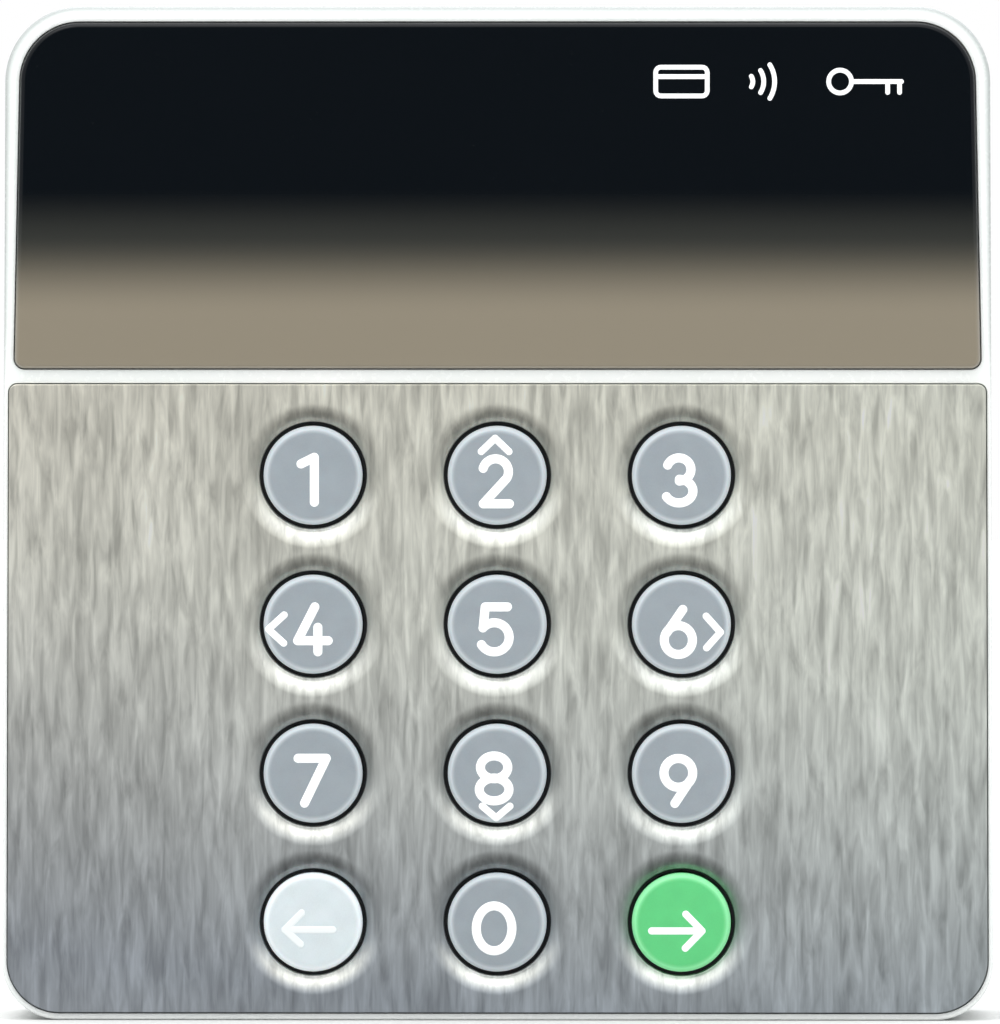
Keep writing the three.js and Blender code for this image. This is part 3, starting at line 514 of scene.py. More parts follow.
housing = {"lean": 0.35, "topCorner": 7.6, "bottomCorner": 5.8, "faceDepth": 0.5, "pocketFit": 0.12,
           "windowTopSide": 1.7, "windowBottomSide": 1.08, "windowTopCorner": 6.0,
           "windowBottomCorner": 1.0, "plateSide": 0.55, "plateTopCorner": 0.8, "wall": 1.6, "ledge": 1.2,
           "roundBySides": 0.28, "roundByWindow": 0.78, "roundAtTop": 1.25, "rearRound": 0.25,
           "windowLip": 0.09, "plateLip": 0.05}

halfHeight = housingHigh[2]
halfWidth = housingHigh[0] + housing["lean"] * housing["bottomCorner"] / (2 * halfHeight)
smallestCorner = 0.3


def halfWidthAt(height):
    # the sides lean in towards the top
    return halfWidth - housing["lean"] * (height + halfHeight) / (2 * halfHeight)


def panelOutline(topHalf, bottomHalf, bottom, top, topCorner, bottomCorner, inset=0.0, **steps):
    # a four-cornered panel, drawn in by the inset; it may be narrower at its top
    upper, lower = max(topCorner - inset, smallestCorner), max(bottomCorner - inset, smallestCorner)
    return roundedOutline([
        (-bottomHalf + inset, bottom + inset, lower), (bottomHalf - inset, bottom + inset, lower),
        (topHalf - inset, top - inset, upper), (-topHalf + inset, top - inset, upper)], **steps)


def housingOutline(inset=0.0, **steps):
    # the reader's outline
    return panelOutline(halfWidth - housing["lean"], halfWidth, -halfHeight, halfHeight,
                        housing["topCorner"], housing["bottomCorner"], inset, **steps)


windowTop, windowBottom = lensHigh[2], lensLow[2]
plateTop, plateBottom = plateHigh[2], plateLow[2]


def windowOutline(inset=0.0, **steps):
    # the window's outline
    return panelOutline(halfWidthAt(windowTop) - housing["windowTopSide"],
                        halfWidthAt(windowBottom) - housing["windowBottomSide"], windowBottom, windowTop,
                        housing["windowTopCorner"], housing["windowBottomCorner"], inset, **steps)


def plateOutline(inset=0.0, **steps):
    # the steel plate's outline
    side = housing["plateSide"]
    upper, lower = halfWidthAt(plateTop) - side, halfWidthAt(plateBottom) - side
    return panelOutline(upper, lower, plateBottom, plateTop, housing["plateTopCorner"],
                        housing["bottomCorner"] - side, inset, **steps)


def centreOf(node):
    # middle of a CAD node as x and height
    low, high = boxOf(node)
    return (low[0] + high[0]) / 2, (low[2] + high[2]) / 2


keyNames = ["key_" + mark for mark in ("1", "2", "3", "4", "5", "6", "7", "8", "9", "back", "0", "enter")]
keyShape = {"radius": 5.0, "round": 0.85, "fall": 0.7, "collar": 5.9, "collarFront": 4.1, "collarBack": 4.9,
            "foot": 2.6, "chamfer": 0.1, "footChamfer": 0.15, "tabWide": 1.6, "tabReach": 0.7,
            "tabStart": 4.0, "tabGap": 0.05, "opening": 5.6}
keyFront, keyEnd = boxOf("key_5")[0][1], boxOf("key_5")[1][1]


def keyCentre(name):
    # the tab is the top of a key's box, at the collar's radius plus its own reach
    low, high = boxOf(name)
    top = keyShape["collar"] + keyShape["tabReach"]
    return (low[0] + high[0]) / 2, high[2] - top


keyPlaces = {name: keyCentre(name) for name in keyNames}
frameScrews = [centreOf(f"board_screw_{i}") for i in (1, 2, 3, 4)]
coverScrews = [centreOf(f"cover_screw_{i}") for i in (1, 2, 3, 4)]
boardScrews = [centreOf(f"main_screw_{i}") for i in (1, 2, 3, 4)]
aerialScrews = [centreOf(f"antenna_screw_{i}") for i in (1, 2)]

inside = {"windowSeat": 2.2, "plateSeat": 1.5, "guideSeat": 3.0, "guideInset": 1.08, "floor": 4.0,
          "ledge": 17.05, "standoff": 10.45, "aerialBoss": 4.5, "screwHole": 1.1, "hookX": 24.0,
          "hookWide": 9.0, "hookReach": 0.9, "hookFront": 20.35, "hookBack": 22.15, "lockDepth": 21.63,
          "lockHole": 1.2, "coverPost": 2.9, "boardPost": 2.6, "aerialPost": 2.4, "postRoot": 0.4,
          "coverPilot": 7.0, "boardPilot": 4.0, "aerialPilot": 1.2}


def pocketTool(outlineAt, face, seat, lip):
    # cuts a pocket whose mouth is rounded by the lip: the tool flares out as it reaches the face
    fit = housing["pocketFit"]
    turn = np.linspace(0, math.pi / 2, 6)
    flare = np.stack([-fit - lip + lip * np.sin(turn), face + lip - lip * np.cos(turn)], axis=-1)
    return closedSlab(outlineAt(), sectionOf([-fit - lip, face - 1.5], flare, [-fit, seat]))


def hookShape(side, fit=0.0):
    # a tab on the wall plate's top edge that the housing hangs on
    middle, half = side * inside["hookX"], inside["hookWide"] / 2 + fit
    top = halfHeight - housing["wall"] + inside["hookReach"] + fit
    low = halfHeight - housing["wall"] - 2
    corners = [(middle - half, low, 0.3), (middle + half, low, 0.3), (middle + half, top, 0.3),
               (middle - half, top, 0.3)]
    section = roundEdgedSection(inside["hookFront"] - fit, inside["hookBack"] + fit, 0.2, 0.2, 0.02)
    return closedSlab(roundedOutline(corners, 5), section)


def makeHousing():
    # outer skin: the front edge's round is small beside the steel plate and swells round the window
    outline = housingOutline(arcSteps=24, sideSteps=36)
    height = outline[0][:, 1]
    swell = np.interp(height, [plateTop - 2, windowBottom + 4, windowTop],
                      [housing["roundBySides"], housing["roundByWindow"], housing["roundAtTop"]])
    face, rear, small = housing["faceDepth"], housingHigh[1], housing["rearRound"]
    rows = [(small + 0.05 + 0 * swell, rear + 0 * swell)]
    for turn in np.linspace(0, math.pi / 2, 5):
        back = rear - small * (1 - math.cos(turn))
        rows.append((small * (1 - math.sin(turn)) + 0 * swell, back + 0 * swell))
    for turn in np.linspace(0, math.pi / 2, 10):
        rows.append((swell * (1 - math.cos(turn)), face + swell * (1 - math.sin(turn))))
    rows.append((swell + 0.04, face + 0 * swell))
    section = np.stack([np.stack(row, axis=-1) for row in rows])
    shell = meshOf("front_housing", closedSlab(outline, section))
    cuts = [
        closedSlab(housingOutline(housing["wall"] + housing["ledge"]), [(0, inside["floor"]), (0, rear)]),
        closedSlab(housingOutline(housing["wall"]), [(0, inside["ledge"]), (0, rear + 1)]),
        pocketTool(windowOutline, face, inside["windowSeat"], housing["windowLip"]),
        pocketTool(plateOutline, face, inside["plateSeat"], housing["plateLip"]),
        closedSlab(plateOutline(inside["guideInset"]), [(0, 0), (0, inside["guideSeat"])]),
        [rod(spot, keyShape["opening"], 0, 6, 64) for spot in keyPlaces.values()]
        + [rod(spot, inside["screwHole"], 0, 6, 24) for spot in frameScrews],
    ]
    for cut in cuts:
        shell = joined(shell, cut, "DIFFERENCE")
    root = inside["floor"] - inside["postRoot"]
    posts = [rod(spot, inside["coverPost"], root, inside["ledge"], 40) for spot in coverScrews]
    posts += [rod(spot, inside["boardPost"], root, inside["standoff"], 40) for spot in boardScrews]
    posts += [rod(spot, inside["aerialPost"], root, inside["aerialBoss"], 40) for spot in aerialScrews]
    shell = joined(shell, posts, "UNION")
    holes = []
    for spots, end, deep in ((coverScrews, inside["ledge"], inside["coverPilot"]),
                             (boardScrews, inside["standoff"], inside["boardPilot"]),
                             (aerialScrews, inside["floor"], inside["aerialPilot"])):
        holes += [rod(spot, inside["screwHole"], end - deep, end + 2, 24) for spot in spots]
    holes += [hookPart for side in (-1, 1) for hookPart in hookShape(side, housing["pocketFit"])]
    low, high = -halfHeight - 1, -halfHeight + housing["wall"] + 1
    holes.append(rod((0, inside["lockDepth"]), inside["lockHole"], low, high, 40, along="height"))
    return joined(shell, holes, "DIFFERENCE")


makePiece("housing_shell", makeHousing(), finishes["white_acrylic"], "reader",
          "white_acrylic", "front_housing")
print("housing made")


# window

lens = {"pillow": 0.5, "edgeDrop": 0.5, "guard": 0.06, "backRound": 0.05}


def makeLens():
    # the front rises from its edge as a cubic ease: depth = front + drop * (1 - inset / pillow)^3
    front, back = lensLow[1], lensHigh[1]
    inset = lens["pillow"] * np.linspace(0, 1, 15) ** 1.7
    ease = np.stack([inset, front + lens["edgeDrop"] * (1 - inset / lens["pillow"]) ** 3], axis=-1)
    small = lens["backRound"]
    section = sectionOf([small + 0.1, back], [small, back], [0, back - small], ease,
                        [lens["pillow"] + lens["guard"], front])
    return meshOf("lens", closedSlab(windowOutline(arcSteps=28, sideSteps=2), section))


makePiece("window_pane", makeLens(), finishes["smoked_window"], "reader",
          "smoked_window", "window_lens", sharp=50)


# steel plate

plate = {"thickness": 1.0, "edgeRound": 0.06, "hole": 5.4, "dish": 7.42, "dishDepth": 0.5,
         "dishPower": 1.65, "shadeDepth": 0.2, "lipRound": 0.12}


def makePlate():
    # a sheet with rounded edges; each hole sits in a pressed dish that falls away from the flat as
    # depth = dishDepth * share^dishPower, its steepest part beside the hole
    thick, lip = plate["thickness"], plate["lipRound"]
    rows = carried(plateOutline(arcSteps=20), roundEdgedSection(0, thick, plate["edgeRound"], 0.05))
    parts, frontRings, backRings = [wrapped(rows)], [rows[-1]], [rows[0]]
    span = plate["dish"] - plate["hole"]
    share = np.linspace(0, 1, 13)
    radius = plate["dish"] - share * (span - lip)
    drop = plate["dishDepth"] * share ** plate["dishPower"]
    turn = np.linspace(0, math.pi / 2, 5)[1:]
    lipFront = np.stack([plate["hole"] + lip * (1 - np.sin(turn)),
                         plate["dishDepth"] + lip * (1 - np.cos(turn))], axis=-1)
    profile = sectionOf([plate["dish"] + 0.04, 0], np.stack([radius, drop], axis=-1), lipFront,
                        [plate["hole"], thick + plate["dishDepth"]],
                        np.stack([radius, drop + thick], axis=-1)[::-1], [plate["dish"] + 0.04, thick])
    for centre in keyPlaces.values():
        dish = turned(centre, profile, 96)
        parts.append(dish)
        ring = dish[0].reshape(len(profile), 96, 3)
        frontRings.append(ring[0])
        backRings.append(ring[-1])
    parts += [filled(*frontRings), filled(*backRings)]
    mesh = meshOf("plate", parts)
    x, depth, height = np.array([vertex.co for vertex in mesh.vertices]).T / mm
    light = np.zeros(len(x))
    for middle, level in keyPlaces.values():
        # 1 at the foot of a dish, which gets a painted highlight as if it caught the light from above,
        # and -0.5 at its sides and top, which get painted shade
        sunk = np.clip((depth + wallDepth) / plate["shadeDepth"], 0, 1)
        low = np.clip((level - height) / plate["hole"], 0, 1)
        inDish = np.hypot(x - middle, height - level) < plate["dish"]
        light = np.where(inDish, sunk * (1.5 * low - 0.5), light)
    mesh.attributes.new("dishLight", "FLOAT", "POINT").data.foreach_set("value", light)
    return mesh


makePiece("keypad_plate", makePlate(), finishes["brushed_plate"], "reader",
          "brushed_plate", "face_plate", sharp=40)
print("window and plate made")


# keys

def capDepth(radius):
    # flat face, then a quarter ellipse down the rounded edge
    over = np.clip((radius - keyShape["radius"] + keyShape["round"]) / keyShape["round"], 0, 1)
    return keyFront + keyShape["fall"] * (1 - np.sqrt(1 - over ** 2))


def makeKeyMesh():
    # cap, collar and foot turned as one profile, with the tab that stops it from turning
    radius, collar, foot = keyShape["radius"], keyShape["collar"], keyShape["foot"]
    front, back = keyShape["collarFront"], keyShape["collarBack"]
    cut, footCut, gap = keyShape["chamfer"], keyShape["footChamfer"], keyShape["tabGap"]
    turn = np.linspace(0, math.pi / 2, 12)
    edge = radius - keyShape["round"] * (1 - np.sin(turn))
    profile = sectionOf(
        [0, keyFront], [2.0, keyFront], [radius - keyShape["round"] - 0.05, keyFront],
        np.stack([edge, capDepth(edge)], axis=-1), [radius, front], [collar - cut, front],
        [collar, front + cut], [collar, back - cut], [collar - cut, back], [foot, back],
        [foot, keyEnd - footCut], [foot - footCut, keyEnd], [0, keyEnd])
    half, low, top = keyShape["tabWide"] / 2, keyShape["tabStart"], collar + keyShape["tabReach"]
    corners = [(-half, low, 0.2), (half, low, 0.2), (half, top, 0.3), (-half, top, 0.3)]
    tab = closedSlab(roundedOutline(corners, 5), roundEdgedSection(front + gap, back - gap, 0.1, 0.1, 0.02))
    return joined(meshOf("key", [turned((0, 0), profile, 96)]), tab, "UNION")


keyLooks = {name: "grey_key" for name in keyNames}
keyLooks.update({"key_back": "clear_key", "key_enter": "green_key"})
keyMesh = makeKeyMesh()
keySpots = np.zeros(len(keyMesh.vertices) * 3)
keyMesh.vertices.foreach_get("co", keySpots)
for name, (x, height) in keyPlaces.items():
    mesh = keyMesh.copy()
    moved = keySpots.reshape(-1, 3) + np.array([x, 0, height]) * mm
    mesh.vertices.foreach_set("co", moved.ravel())
    mesh.update()
    makePiece(name + "_cap", mesh, finishes[keyLooks[name]], name, keyLooks[name], name)
print("keys made")


# printed figures

figure = {"stroke": 0.46, "fineStroke": 0.36, "lift": 0.06, "fineLift": 0.9, "sunk": 0.05,
          "halfHigh": 2.27, "step": 0.12, "nudge": 0.02}


def arc(x, y, wide, high, start, end, steps=28):
    # part of an ellipse, angles in degrees anticlockwise from the right
    angle = np.radians(np.linspace(start, end, steps))
    return np.stack([x + wide * np.cos(angle), y + high * np.sin(angle)], axis=-1)


def hoop(x, y, wide, high, steps=73):
    # a whole ellipse, without its last point, which is its first again
    return arc(x, y, wide, high, 0, 360, steps)[:-1]


def stroke(path, half, surface, lift, closed=False):
    # a raised line with round ends: across is cos a times a half width that closes as a half circle
    # at each end, and its height is lift * (1 - cos^6 a) above the surface
    path = np.asarray(path, float)
    if closed:
        path = np.concatenate([path, path[:1]])
    step = np.linalg.norm(np.diff(path, axis=0), axis=1)
    along = np.concatenate([[0], np.cumsum(step)])
    if closed:
        at = np.linspace(0, along[-1], 72, endpoint=False)
        width = np.full_like(at, half)
    else:
        turn = np.linspace(0, math.pi / 2, 7)
        body = np.linspace(0, along[-1], max(int(along[-1] / figure["step"]), 4))[1:-1]
        at = np.concatenate([-half * np.cos(turn), body, along[-1] + half * np.sin(turn)])
        width = half * np.concatenate([np.sin(turn), np.ones(len(body)), np.cos(turn)])
    kept = np.clip(at, 0, along[-1])
    spot = np.stack([np.interp(kept, along, path[:, axis]) for axis in (0, 1)], axis=-1)
    nudge = figure["nudge"]
    if closed:
        before, after = (at - nudge) % along[-1], (at + nudge) % along[-1]
    else:
        before, after = np.clip(at - nudge, 0, along[-1] - nudge), np.clip(at + nudge, nudge, along[-1])
    away = np.stack([np.interp(after, along, path[:, axis]) - np.interp(before, along, path[:, axis])
                     for axis in (0, 1)], axis=-1)
    away /= np.linalg.norm(away, axis=1, keepdims=True)
    spot = spot + away * (at - kept)[:, None]
    normal = np.stack([-away[:, 1], away[:, 0]], axis=-1)
    turn = np.linspace(0, 2 * math.pi, 20, endpoint=False)
    across = spot[:, None] + normal[:, None] * (width[:, None] * np.cos(turn))[..., None]
    taper = np.sqrt(np.clip(width / half, 0, 1))[:, None]
    under = -figure["sunk"] * np.abs(np.sin(turn))
    rise = np.where(np.sin(turn) > 0, lift * (1 - np.cos(turn) ** 6), under)
    depth = surface(across) - rise * taper
    rows = np.concatenate([across, depth[..., None]], axis=-1)
    if closed:
        rows = np.concatenate([rows, rows[:1]])
    return wrapped(rows)


def digitPaths(mark):
    # centre lines of a plain rounded figure about its own middle; bars, rings and bows
    high = figure["halfHigh"]
    ring = {"0": [(hoop(0, 0, 1.8, high), True)],
            "6": [(hoop(0, -0.82, 1.42, 1.45), True), ([(-1.18, -0.1), (0.45, high)], False)],
            "9": [(hoop(0, 0.82, 1.45, 1.45), True), ([(1.22, 0.1), (-0.35, -high)], False)],
            "8": [(hoop(0, 1.12, 1.38, 1.15), True), (hoop(0, -1.12, 1.5, 1.15), True)]}
    neck = np.concatenate([arc(0, high - 1.3, 1.3, 1.3, 165, -32, 30), [(-1.25, -high)]])
    bars = {"1": [([(0.35, high), (0.35, -high)], False), ([(0.35, high), (-1.0, 1.6)], False)],
            "2": [(neck, False),
                  ([(-1.25, -high), (1.4, -high)], False)],
            "3": [(arc(-0.05, high - 1.17, 1.22, 1.17, 158, -88, 34), False),
                  (arc(-0.05, -1.08, 1.42, 1.19, 88, -152, 40), False)],
            "4": [([(0.25, high), (-1.5, -1.15)], False), ([(-1.5, -1.15), (1.6, -1.15)], False),
                  ([(0.55, 0.2), (0.55, -high)], False)],
            "5": [([(1.25, high), (-1.0, high)], False), ([(-1.0, high), (-1.2, 0.2)], False),
                  (arc(-0.08, -0.8, 1.5, 1.47, 140, -150, 44), False)],
            "7": [([(-1.4, high), (1.45, high)], False), ([(1.45, high), (-0.75, -high)], False)]}
    return ring.get(mark) or bars[mark]


def chevron(tip, first, second):
    # two short lines that meet at a tip
    return [([first, tip], False), ([tip, second], False)]


# where the middle of each digit stands, from the middle of its key
marks = {
    "1": (-0.2, -0.45), "2": (-0.15, -0.6), "3": (-0.2, -0.5), "4": (-0.05, -0.5), "5": (-0.2, -0.5),
    "6": (-0.3, -0.75), "7": (-0.1, -0.75), "8": (-0.3, -0.5), "9": (-0.3, -0.75), "0": (-0.3, -0.6),
}
# arrowheads beside four of the digits and the arrows of the two end keys, from the key's middle
arrows = {
    "2": chevron((-0.2, 3.75), (-1.6, 2.4), (1.2, 2.4)),
    "8": chevron((-0.1, -4.5), (-1.5, -3.3), (1.3, -3.3)),
    "4": chevron((-4.5, -0.5), (-2.9, 0.95), (-2.95, -1.9)),
    "6": chevron((3.95, -0.78), (2.5, 0.85), (2.55, -2.35)),
    "back": [([(-2.85, -0.75), (2.0, -0.75)], False),
             *chevron((-2.85, -0.75), (-1.15, 0.95), (-1.25, -2.2))],
    "enter": [([(-3.0, -0.85), (2.1, -0.85)], False),
              *chevron((2.1, -0.85), (0.45, 0.85), (0.4, -2.6))],
}


def surfaceOfKey(spot):
    # a printed line follows the key's face, and its rounded edge where it reaches that far
    return capDepth(np.linalg.norm(spot, axis=-1))


def united(parts, name):
    # overlapping strokes made one closed body
    mesh = meshOf(name, [parts[0]])
    for part in parts[1:]:
        mesh = joined(mesh, [part], "UNION")
    return mesh


def shifted(part, x, height):
    # the same part at another place on the panel
    return part[0] + np.array([x, height, 0]), part[1]


for name, (x, height) in keyPlaces.items():
    mark = name.split("_")[1]
    half, fine, lift = figure["stroke"], figure["fineStroke"], figure["lift"]
    strokes = []
    if mark in marks:
        dx, dy = marks[mark]
        for path, closed in digitPaths(mark):
            strokes.append(stroke(np.asarray(path) + (dx, dy), half, surfaceOfKey, lift, closed))
    for path, closed in arrows.get(mark, []):
        strokes.append(stroke(path, fine, surfaceOfKey, lift * figure["fineLift"], closed))
    mesh = united([shifted(part, x, height) for part in strokes], "figure_" + mark)
    finish = printFaint if mark == "back" else printWhite
    makePiece("figure_" + mark, mesh, finish, name, "white_acrylic", sharp=60)
print("figures made")


# signs on the window: a card, radio waves and a key, in place of any name

sign = {"middleHeight": 43.6, "stroke": 0.24, "lift": 0.03, "cardX": 18.6, "cardHalfWide": 2.6,
        "cardHalfHigh": 1.45, "cardCorner": 0.5, "stripeHalf": 2.4, "stripeUp": 0.5, "wavesX": 27.0,
        "wavesBack": 2.2, "waveReaches": (1.0, 2.1, 3.2), "waveAngle": 32, "keyX": 37.2, "ringBack": 2.6,
        "ringRadius": 1.15, "shaftEnd": 3.6, "teeth": (2.2, 3.4), "toothLong": 1.1}


def surfaceOfWindow(spot):
    # a printed line lies on the window's flat face
    return np.full(spot.shape[:-1], lensLow[1])


def makeSigns():
    # a card with a stripe, three arcs spreading to its right, and a key with two teeth
    base, top, wide = sign["middleHeight"], sign["cardHalfHigh"], sign["cardHalfWide"]
    corner, stripe = sign["cardCorner"], base + sign["stripeUp"]
    corners = [(-wide, -top, corner), (wide, -top, corner), (wide, top, corner), (-wide, top, corner)]
    card, _ = roundedOutline(corners, 6, 6)
    left, right = sign["cardX"] - sign["stripeHalf"], sign["cardX"] + sign["stripeHalf"]
    lines = [(card + (sign["cardX"], base), True), ([(left, stripe), (right, stripe)], False)]
    for reach in sign["waveReaches"]:
        spread = sign["waveAngle"]
        wave = arc(sign["wavesX"] - sign["wavesBack"], base, reach, reach, -spread, spread, 16)
        lines.append((wave, False))
    ringX, radius = sign["keyX"] - sign["ringBack"], sign["ringRadius"]
    lines.append((hoop(ringX, base, radius, radius, 49), True))
    lines.append(([(ringX + radius, base), (sign["keyX"] + sign["shaftEnd"], base)], False))
    for place in sign["teeth"]:
        tooth = sign["keyX"] + place
        lines.append(([(tooth, base), (tooth, base - sign["toothLong"])], False))
    parts = [stroke(path, sign["stroke"], surfaceOfWindow, sign["lift"], closed) for path, closed in lines]
    return united(parts, "window_signs")


makePiece("window_signs", makeSigns(), printWhite, "reader", "white_acrylic", sharp=60)
print("signs made")


# wall plate, cable grommet and lock screw

wallPlate = {"inset": 1.72, "edge": 0.35, "coverGap": 0.2, "cableWide": 26.0, "cableHigh": 18.0,
             "cableDrop": 22.0, "cableCorner": 2, "cableLip": 0.3, "slotX": 30.0, "slotY": 36.0,
             "slotWide": 3.8, "slotLong": 9.0, "headRoom": 2.0, "headDepth": 2.0, "markRadius": 2.2,
             "markDepth": 0.12, "marks": ((14.0, 36.0), (42.0, 22.0)), "lockBore": 1.2, "lockReach": 8.6}


def slotOutline(side, up, radius):
    # a slot with round ends, level at the top of the plate and upright at its bottom
    straight = (wallPlate["slotLong"] - wallPlate["slotWide"]) / 2
    wide, high = (straight + radius, radius) if up > 0 else (radius, straight + radius)
    x, y, corner = side * wallPlate["slotX"], up * wallPlate["slotY"], radius * 0.995
    return roundedOutline([(x - wide, y - high, corner), (x + wide, y - high, corner),
                           (x + wide, y + high, corner), (x - wide, y + high, corner)], 12)


def makeWallPlate():
    # a slab with rounded edges, a cable opening, four screw slots with room for their heads, two
    # hooks, the lock screw's bore, and the shallow round marks that ejector pins leave
    front = boxOf("rear_cover")[1][1] + wallPlate["coverGap"]
    back, edge = wallPlateHigh[1], wallPlate["edge"]
    outline = housingOutline(wallPlate["inset"], arcSteps=20)
    made = meshOf("wall_plate", closedSlab(outline, roundEdgedSection(front, back, edge, edge)))
    made = joined(made, [part for side in (-1, 1) for part in hookShape(side)], "UNION")
    wide, middle = wallPlate["cableWide"] / 2, -wallPlate["cableDrop"]
    high, corner, lip = wallPlate["cableHigh"] / 2, wallPlate["cableCorner"], wallPlate["cableLip"]
    opening = roundedOutline([(-wide, middle - high, corner), (wide, middle - high, corner),
                              (wide, middle + high, corner), (-wide, middle + high, corner)], 12)
    turn = np.linspace(0, math.pi / 2, 6)
    inner = np.stack([-lip * (1 - np.sin(turn)), front + lip * (1 - np.cos(turn))], axis=-1)
    outer = np.stack([-lip * (1 - np.cos(turn)), back - lip * (1 - np.sin(turn))], axis=-1)
    cuts = closedSlab(opening, sectionOf([-lip, front - 1], inner, outer, [-lip, back + 1]))
    slotRadius, markStart = wallPlate["slotWide"] / 2, back - wallPlate["markDepth"]
    for side in (-1, 1):
        for up in (-1, 1):
            cuts += closedSlab(slotOutline(side, up, slotRadius), [(0, front + 1), (0, back + 1)])
            cuts += [rod((side * x, up * y), wallPlate["markRadius"], markStart, back + 1)
                     for x, y in wallPlate["marks"]]
    made = joined(made, cuts, "DIFFERENCE")
    heads = []
    for side in (-1, 1):
        for up in (-1, 1):
            room = slotOutline(side, up, slotRadius + wallPlate["headRoom"])
            heads += closedSlab(room, [(0, front - 1), (0, front + wallPlate["headDepth"])])
    low, reach = -halfHeight - 1, -halfHeight + wallPlate["lockReach"]
    heads.append(rod((0, inside["lockDepth"]), wallPlate["lockBore"], low, reach, 40, along="height"))
    return joined(made, heads, "DIFFERENCE")


makePiece("mounting_plate", makeWallPlate(), finishes["grey_plastic"], "reader",
          "grey_plastic", "wall_plate")

grommet = {"bore": 3.5, "neck": 5.0, "flange": 6.5, "lip": 0.7, "gap": 0.1, "mouth": 0.3, "chamfer": 0.1}


def makeGrommet():
    # a ring of rubber: two rounded flanges with a neck between them that grips the cover's edge
    cover = boxOf("rear_cover")
    front, back = cover[0][1] - grommet["gap"], cover[1][1] + grommet["gap"]
    lip, bore, flange = grommet["lip"], grommet["bore"], grommet["flange"]
    soft, chamfer, foot = grommet["mouth"], grommet["chamfer"], front - lip
    turn = np.linspace(0, math.pi / 2, 7)
    inner = np.stack([flange - lip * (1 - np.sin(turn)), front - lip * np.cos(turn)], axis=-1)
    outer = np.stack([flange - lip * (1 - np.cos(turn)), back + lip * np.sin(turn)], axis=-1)
    mouth = np.stack([bore + soft * (1 - np.sin(turn)), back + lip - soft * (1 - np.cos(turn))], axis=-1)
    profile = sectionOf([bore + chamfer, foot], inner, [grommet["neck"], front], [grommet["neck"], back],
                        outer, mouth, [bore, foot + chamfer], [bore + chamfer, foot])
    return meshOf("grommet", [turned((0, -wallPlate["cableDrop"]), profile, 96)])


makePiece("cable_seal", makeGrommet(), finishes["black_rubber"], "reader", "black_rubber", "cable_grommet")

lockScrew = {"radius": 1.0, "length": 6.5, "start": 0.4, "pitch": 0.4, "threadDepth": 0.14,
             "socket": 0.5, "socketDepth": 1.2, "footRadius": 0.8, "tipRadius": 0.6, "footRun": 0.15,
             "tipRun": 0.3, "sides": 40, "rings": 150}


def makeLockScrew():
    # grub screw: the radius drops by the thread depth along a helix, a triangle wave of height and
    # angle together; a six-sided socket is cut in its foot
    low, sides = -halfHeight + lockScrew["start"], lockScrew["sides"]
    high = low + lockScrew["length"]
    angle = np.linspace(0, 2 * math.pi, sides, endpoint=False)
    height = np.linspace(low + lockScrew["footRun"], high - lockScrew["tipRun"], lockScrew["rings"])
    phase = (height[:, None] - low) / lockScrew["pitch"] - angle[None] / (2 * math.pi)
    radius = lockScrew["radius"] - lockScrew["threadDepth"] * np.abs(2 * (phase % 1) - 1)
    body = [(np.zeros(sides), low), (np.full(sides, lockScrew["footRadius"]), low)]
    body += [(radius[i], height[i]) for i in range(len(height))]
    body += [(np.full(sides, lockScrew["tipRadius"]), high), (np.zeros(sides), high)]
    rows = []
    for reach, level in body:
        back = inside["lockDepth"] + reach * np.sin(angle)
        rows.append(np.stack([reach * np.cos(angle), np.full(sides, level), back], axis=-1))
    made = meshOf("lock_screw", [wrapped(np.stack(rows))])
    spot, bottom = (0, inside["lockDepth"]), low + lockScrew["socketDepth"]
    socket = rod(spot, lockScrew["socket"], low - 1, bottom, 6, along="height")
    return joined(made, [socket], "DIFFERENCE")


makePiece("grub_screw", makeLockScrew(), finishes["zinc_steel"], "reader", "zinc_steel", "lock_screw")
print("wall plate, grommet and lock screw made")


# the pieces inside keep their CAD shape and get their finish by the record's slot

slotOf = {}
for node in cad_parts:
    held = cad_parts[node].material_slots
    slotOf[node] = held[0].material.name if held and held[0].material else None
for node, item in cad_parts.items():
    if item.hide_render:
        continue
    finish = finishes.get((slotOf[node] or "").split(".")[0])
    if finish is None:
        print("no finish for", node, slotOf[node])
        continue
    for held in item.material_slots:
        held.material = finish
print("inner pieces finished")


# floor, light and camera

studio = {"distance": 1600.0, "azimuth": 1.0, "elevation": 1.0, "aimX": 0.28, "aimHeight": 0.15,
          "frameHeight": 103.42, "floorGap": 0.05, "floorHalf": 2500.0, "lampAim": (0, -20, 0),
          "sensor": 36.0}
sky = {"low": 0.25, "level": 1.14, "overhead": 0.86, "side": 0.6, "patch": 0.02,
       "light": (0.97, 0.985, 1.0, 1.0), "seen": (1.0, 1.0, 1.0, 1.0)}


def makeFloor():
    # a wide level sheet just under the reader
    half, level = studio["floorHalf"] * mm, (-halfHeight - studio["floorGap"]) * mm
    mesh = bpy.data.meshes.new("floor")
    corners = [(-half, -half, level), (half, -half, level), (half, half, level), (-half, half, level)]
    mesh.from_pydata(corners, [], [(0, 1, 2, 3)])
    floor = bpy.data.objects.new("floor", mesh)
    pale = mouldedFinish("paleFloor", colour(243, 243, 241), 0.02, 1.5, 60.0, rough=(0.6, 0.7))
    floor.data.materials.append(pale)
    scene.collection.objects.link(floor)
    floor.visible_glossy = False


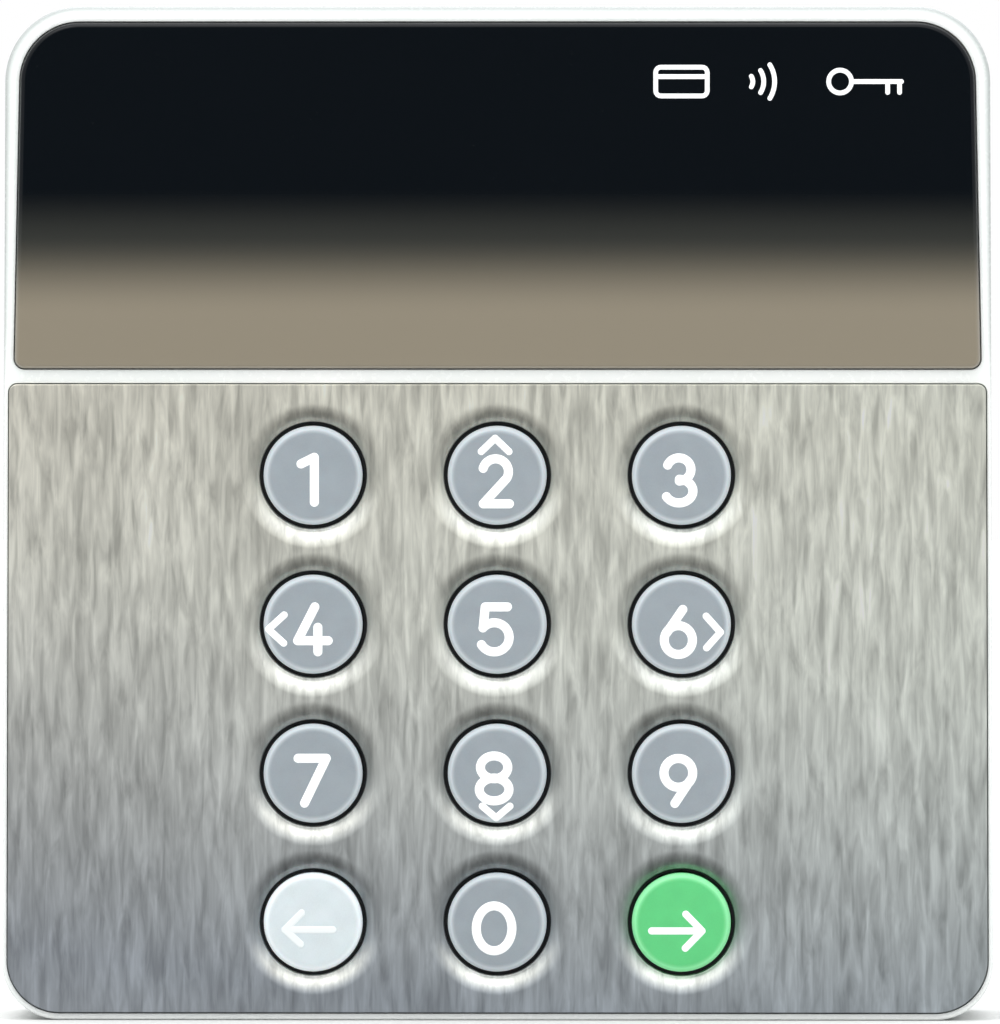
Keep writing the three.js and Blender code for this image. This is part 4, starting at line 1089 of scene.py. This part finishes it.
def makeLamp(name, spot, size, watts, tint):
    # a square soft light that looks at the reader, places in millimetres
    data = bpy.data.lights.new(name, "AREA")
    data.size, data.energy, data.color = size * mm, watts, tint
    lamp = bpy.data.objects.new(name, data)
    lamp.location = Vector(spot) * mm
    lamp.rotation_euler = (Vector(studio["lampAim"]) - Vector(spot)).to_track_quat("-Z", "Y").to_euler()
    scene.collection.objects.link(lamp)
    return lamp


def makeWorld():
    # white to the camera; to everything else bright overhead, dim from below, dimmer at both sides,
    # with a dark patch straight in front, where the camera stands
    world = bpy.data.worlds.new("studio")
    world.use_nodes = True
    scene.world = world
    tree = world.node_tree
    tree.nodes.clear()
    way = tree.nodes.new("ShaderNodeTexCoord").outputs["Generated"]
    parts = nodeIn(tree, "SeparateXYZ", i0=way)
    below = ranged(tree, parts.outputs[2], -0.6, -0.02, sky["low"], sky["level"], smooth=True)
    above = ranged(tree, parts.outputs[2], 0.06, 0.6, 0.0, sky["overhead"], smooth=True)
    front = ranged(tree, parts.outputs[1], -0.985, -0.9972, 1.0, sky["patch"], smooth=True)
    aside = ranged(tree, figured(tree, "ABSOLUTE", parts.outputs[0]), 0.06, 0.4, 1.0, sky["side"])
    upright = figured(tree, "ADD", below, above)
    around = figured(tree, "MULTIPLY", front, aside)
    level = figured(tree, "MULTIPLY", upright, around)
    lit = nodeIn(tree, "Background", i0=sky["light"], i1=level)
    seen = nodeIn(tree, "Background", i0=sky["seen"], i1=1.0)
    path = tree.nodes.new("ShaderNodeLightPath")
    mix = nodeIn(tree, "MixShader", i0=path.outputs["Is Camera Ray"], i1=lit.outputs[0], i2=seen.outputs[0])
    output = tree.nodes.new("ShaderNodeOutputWorld")
    tree.links.new(mix.outputs[0], output.inputs[0])


def makeCamera():
    # a long lens nearly square to the front, framed on the plate's face
    data = bpy.data.cameras.new("camera")
    data.sensor_width = studio["sensor"]
    data.lens = studio["sensor"] * studio["distance"] / studio["frameHeight"]
    data.clip_start, data.clip_end = 0.01, 20.0
    camera = bpy.data.objects.new("camera", data)
    across, lift = math.radians(studio["azimuth"]), math.radians(studio["elevation"])
    aim = Vector((studio["aimX"], -wallDepth, studio["aimHeight"])) * mm
    back = Vector((math.sin(across) * math.cos(lift), -math.cos(across) * math.cos(lift), math.sin(lift)))
    camera.location = aim + back * studio["distance"] * mm
    camera.rotation_euler = (-back).to_track_quat("-Z", "Y").to_euler()
    scene.collection.objects.link(camera)
    scene.camera = camera


makeFloor()
makeWorld()
makeLamp("topLight", (-250, -420, 620), 420, 1.3, (1.0, 0.99, 0.97))
fill = makeLamp("fillLight", (520, -520, 120), 380, 0.4, (0.95, 0.97, 1.0))
fill.visible_glossy = False
makeCamera()
scene.view_settings.view_transform = "Standard"
print("studio made")
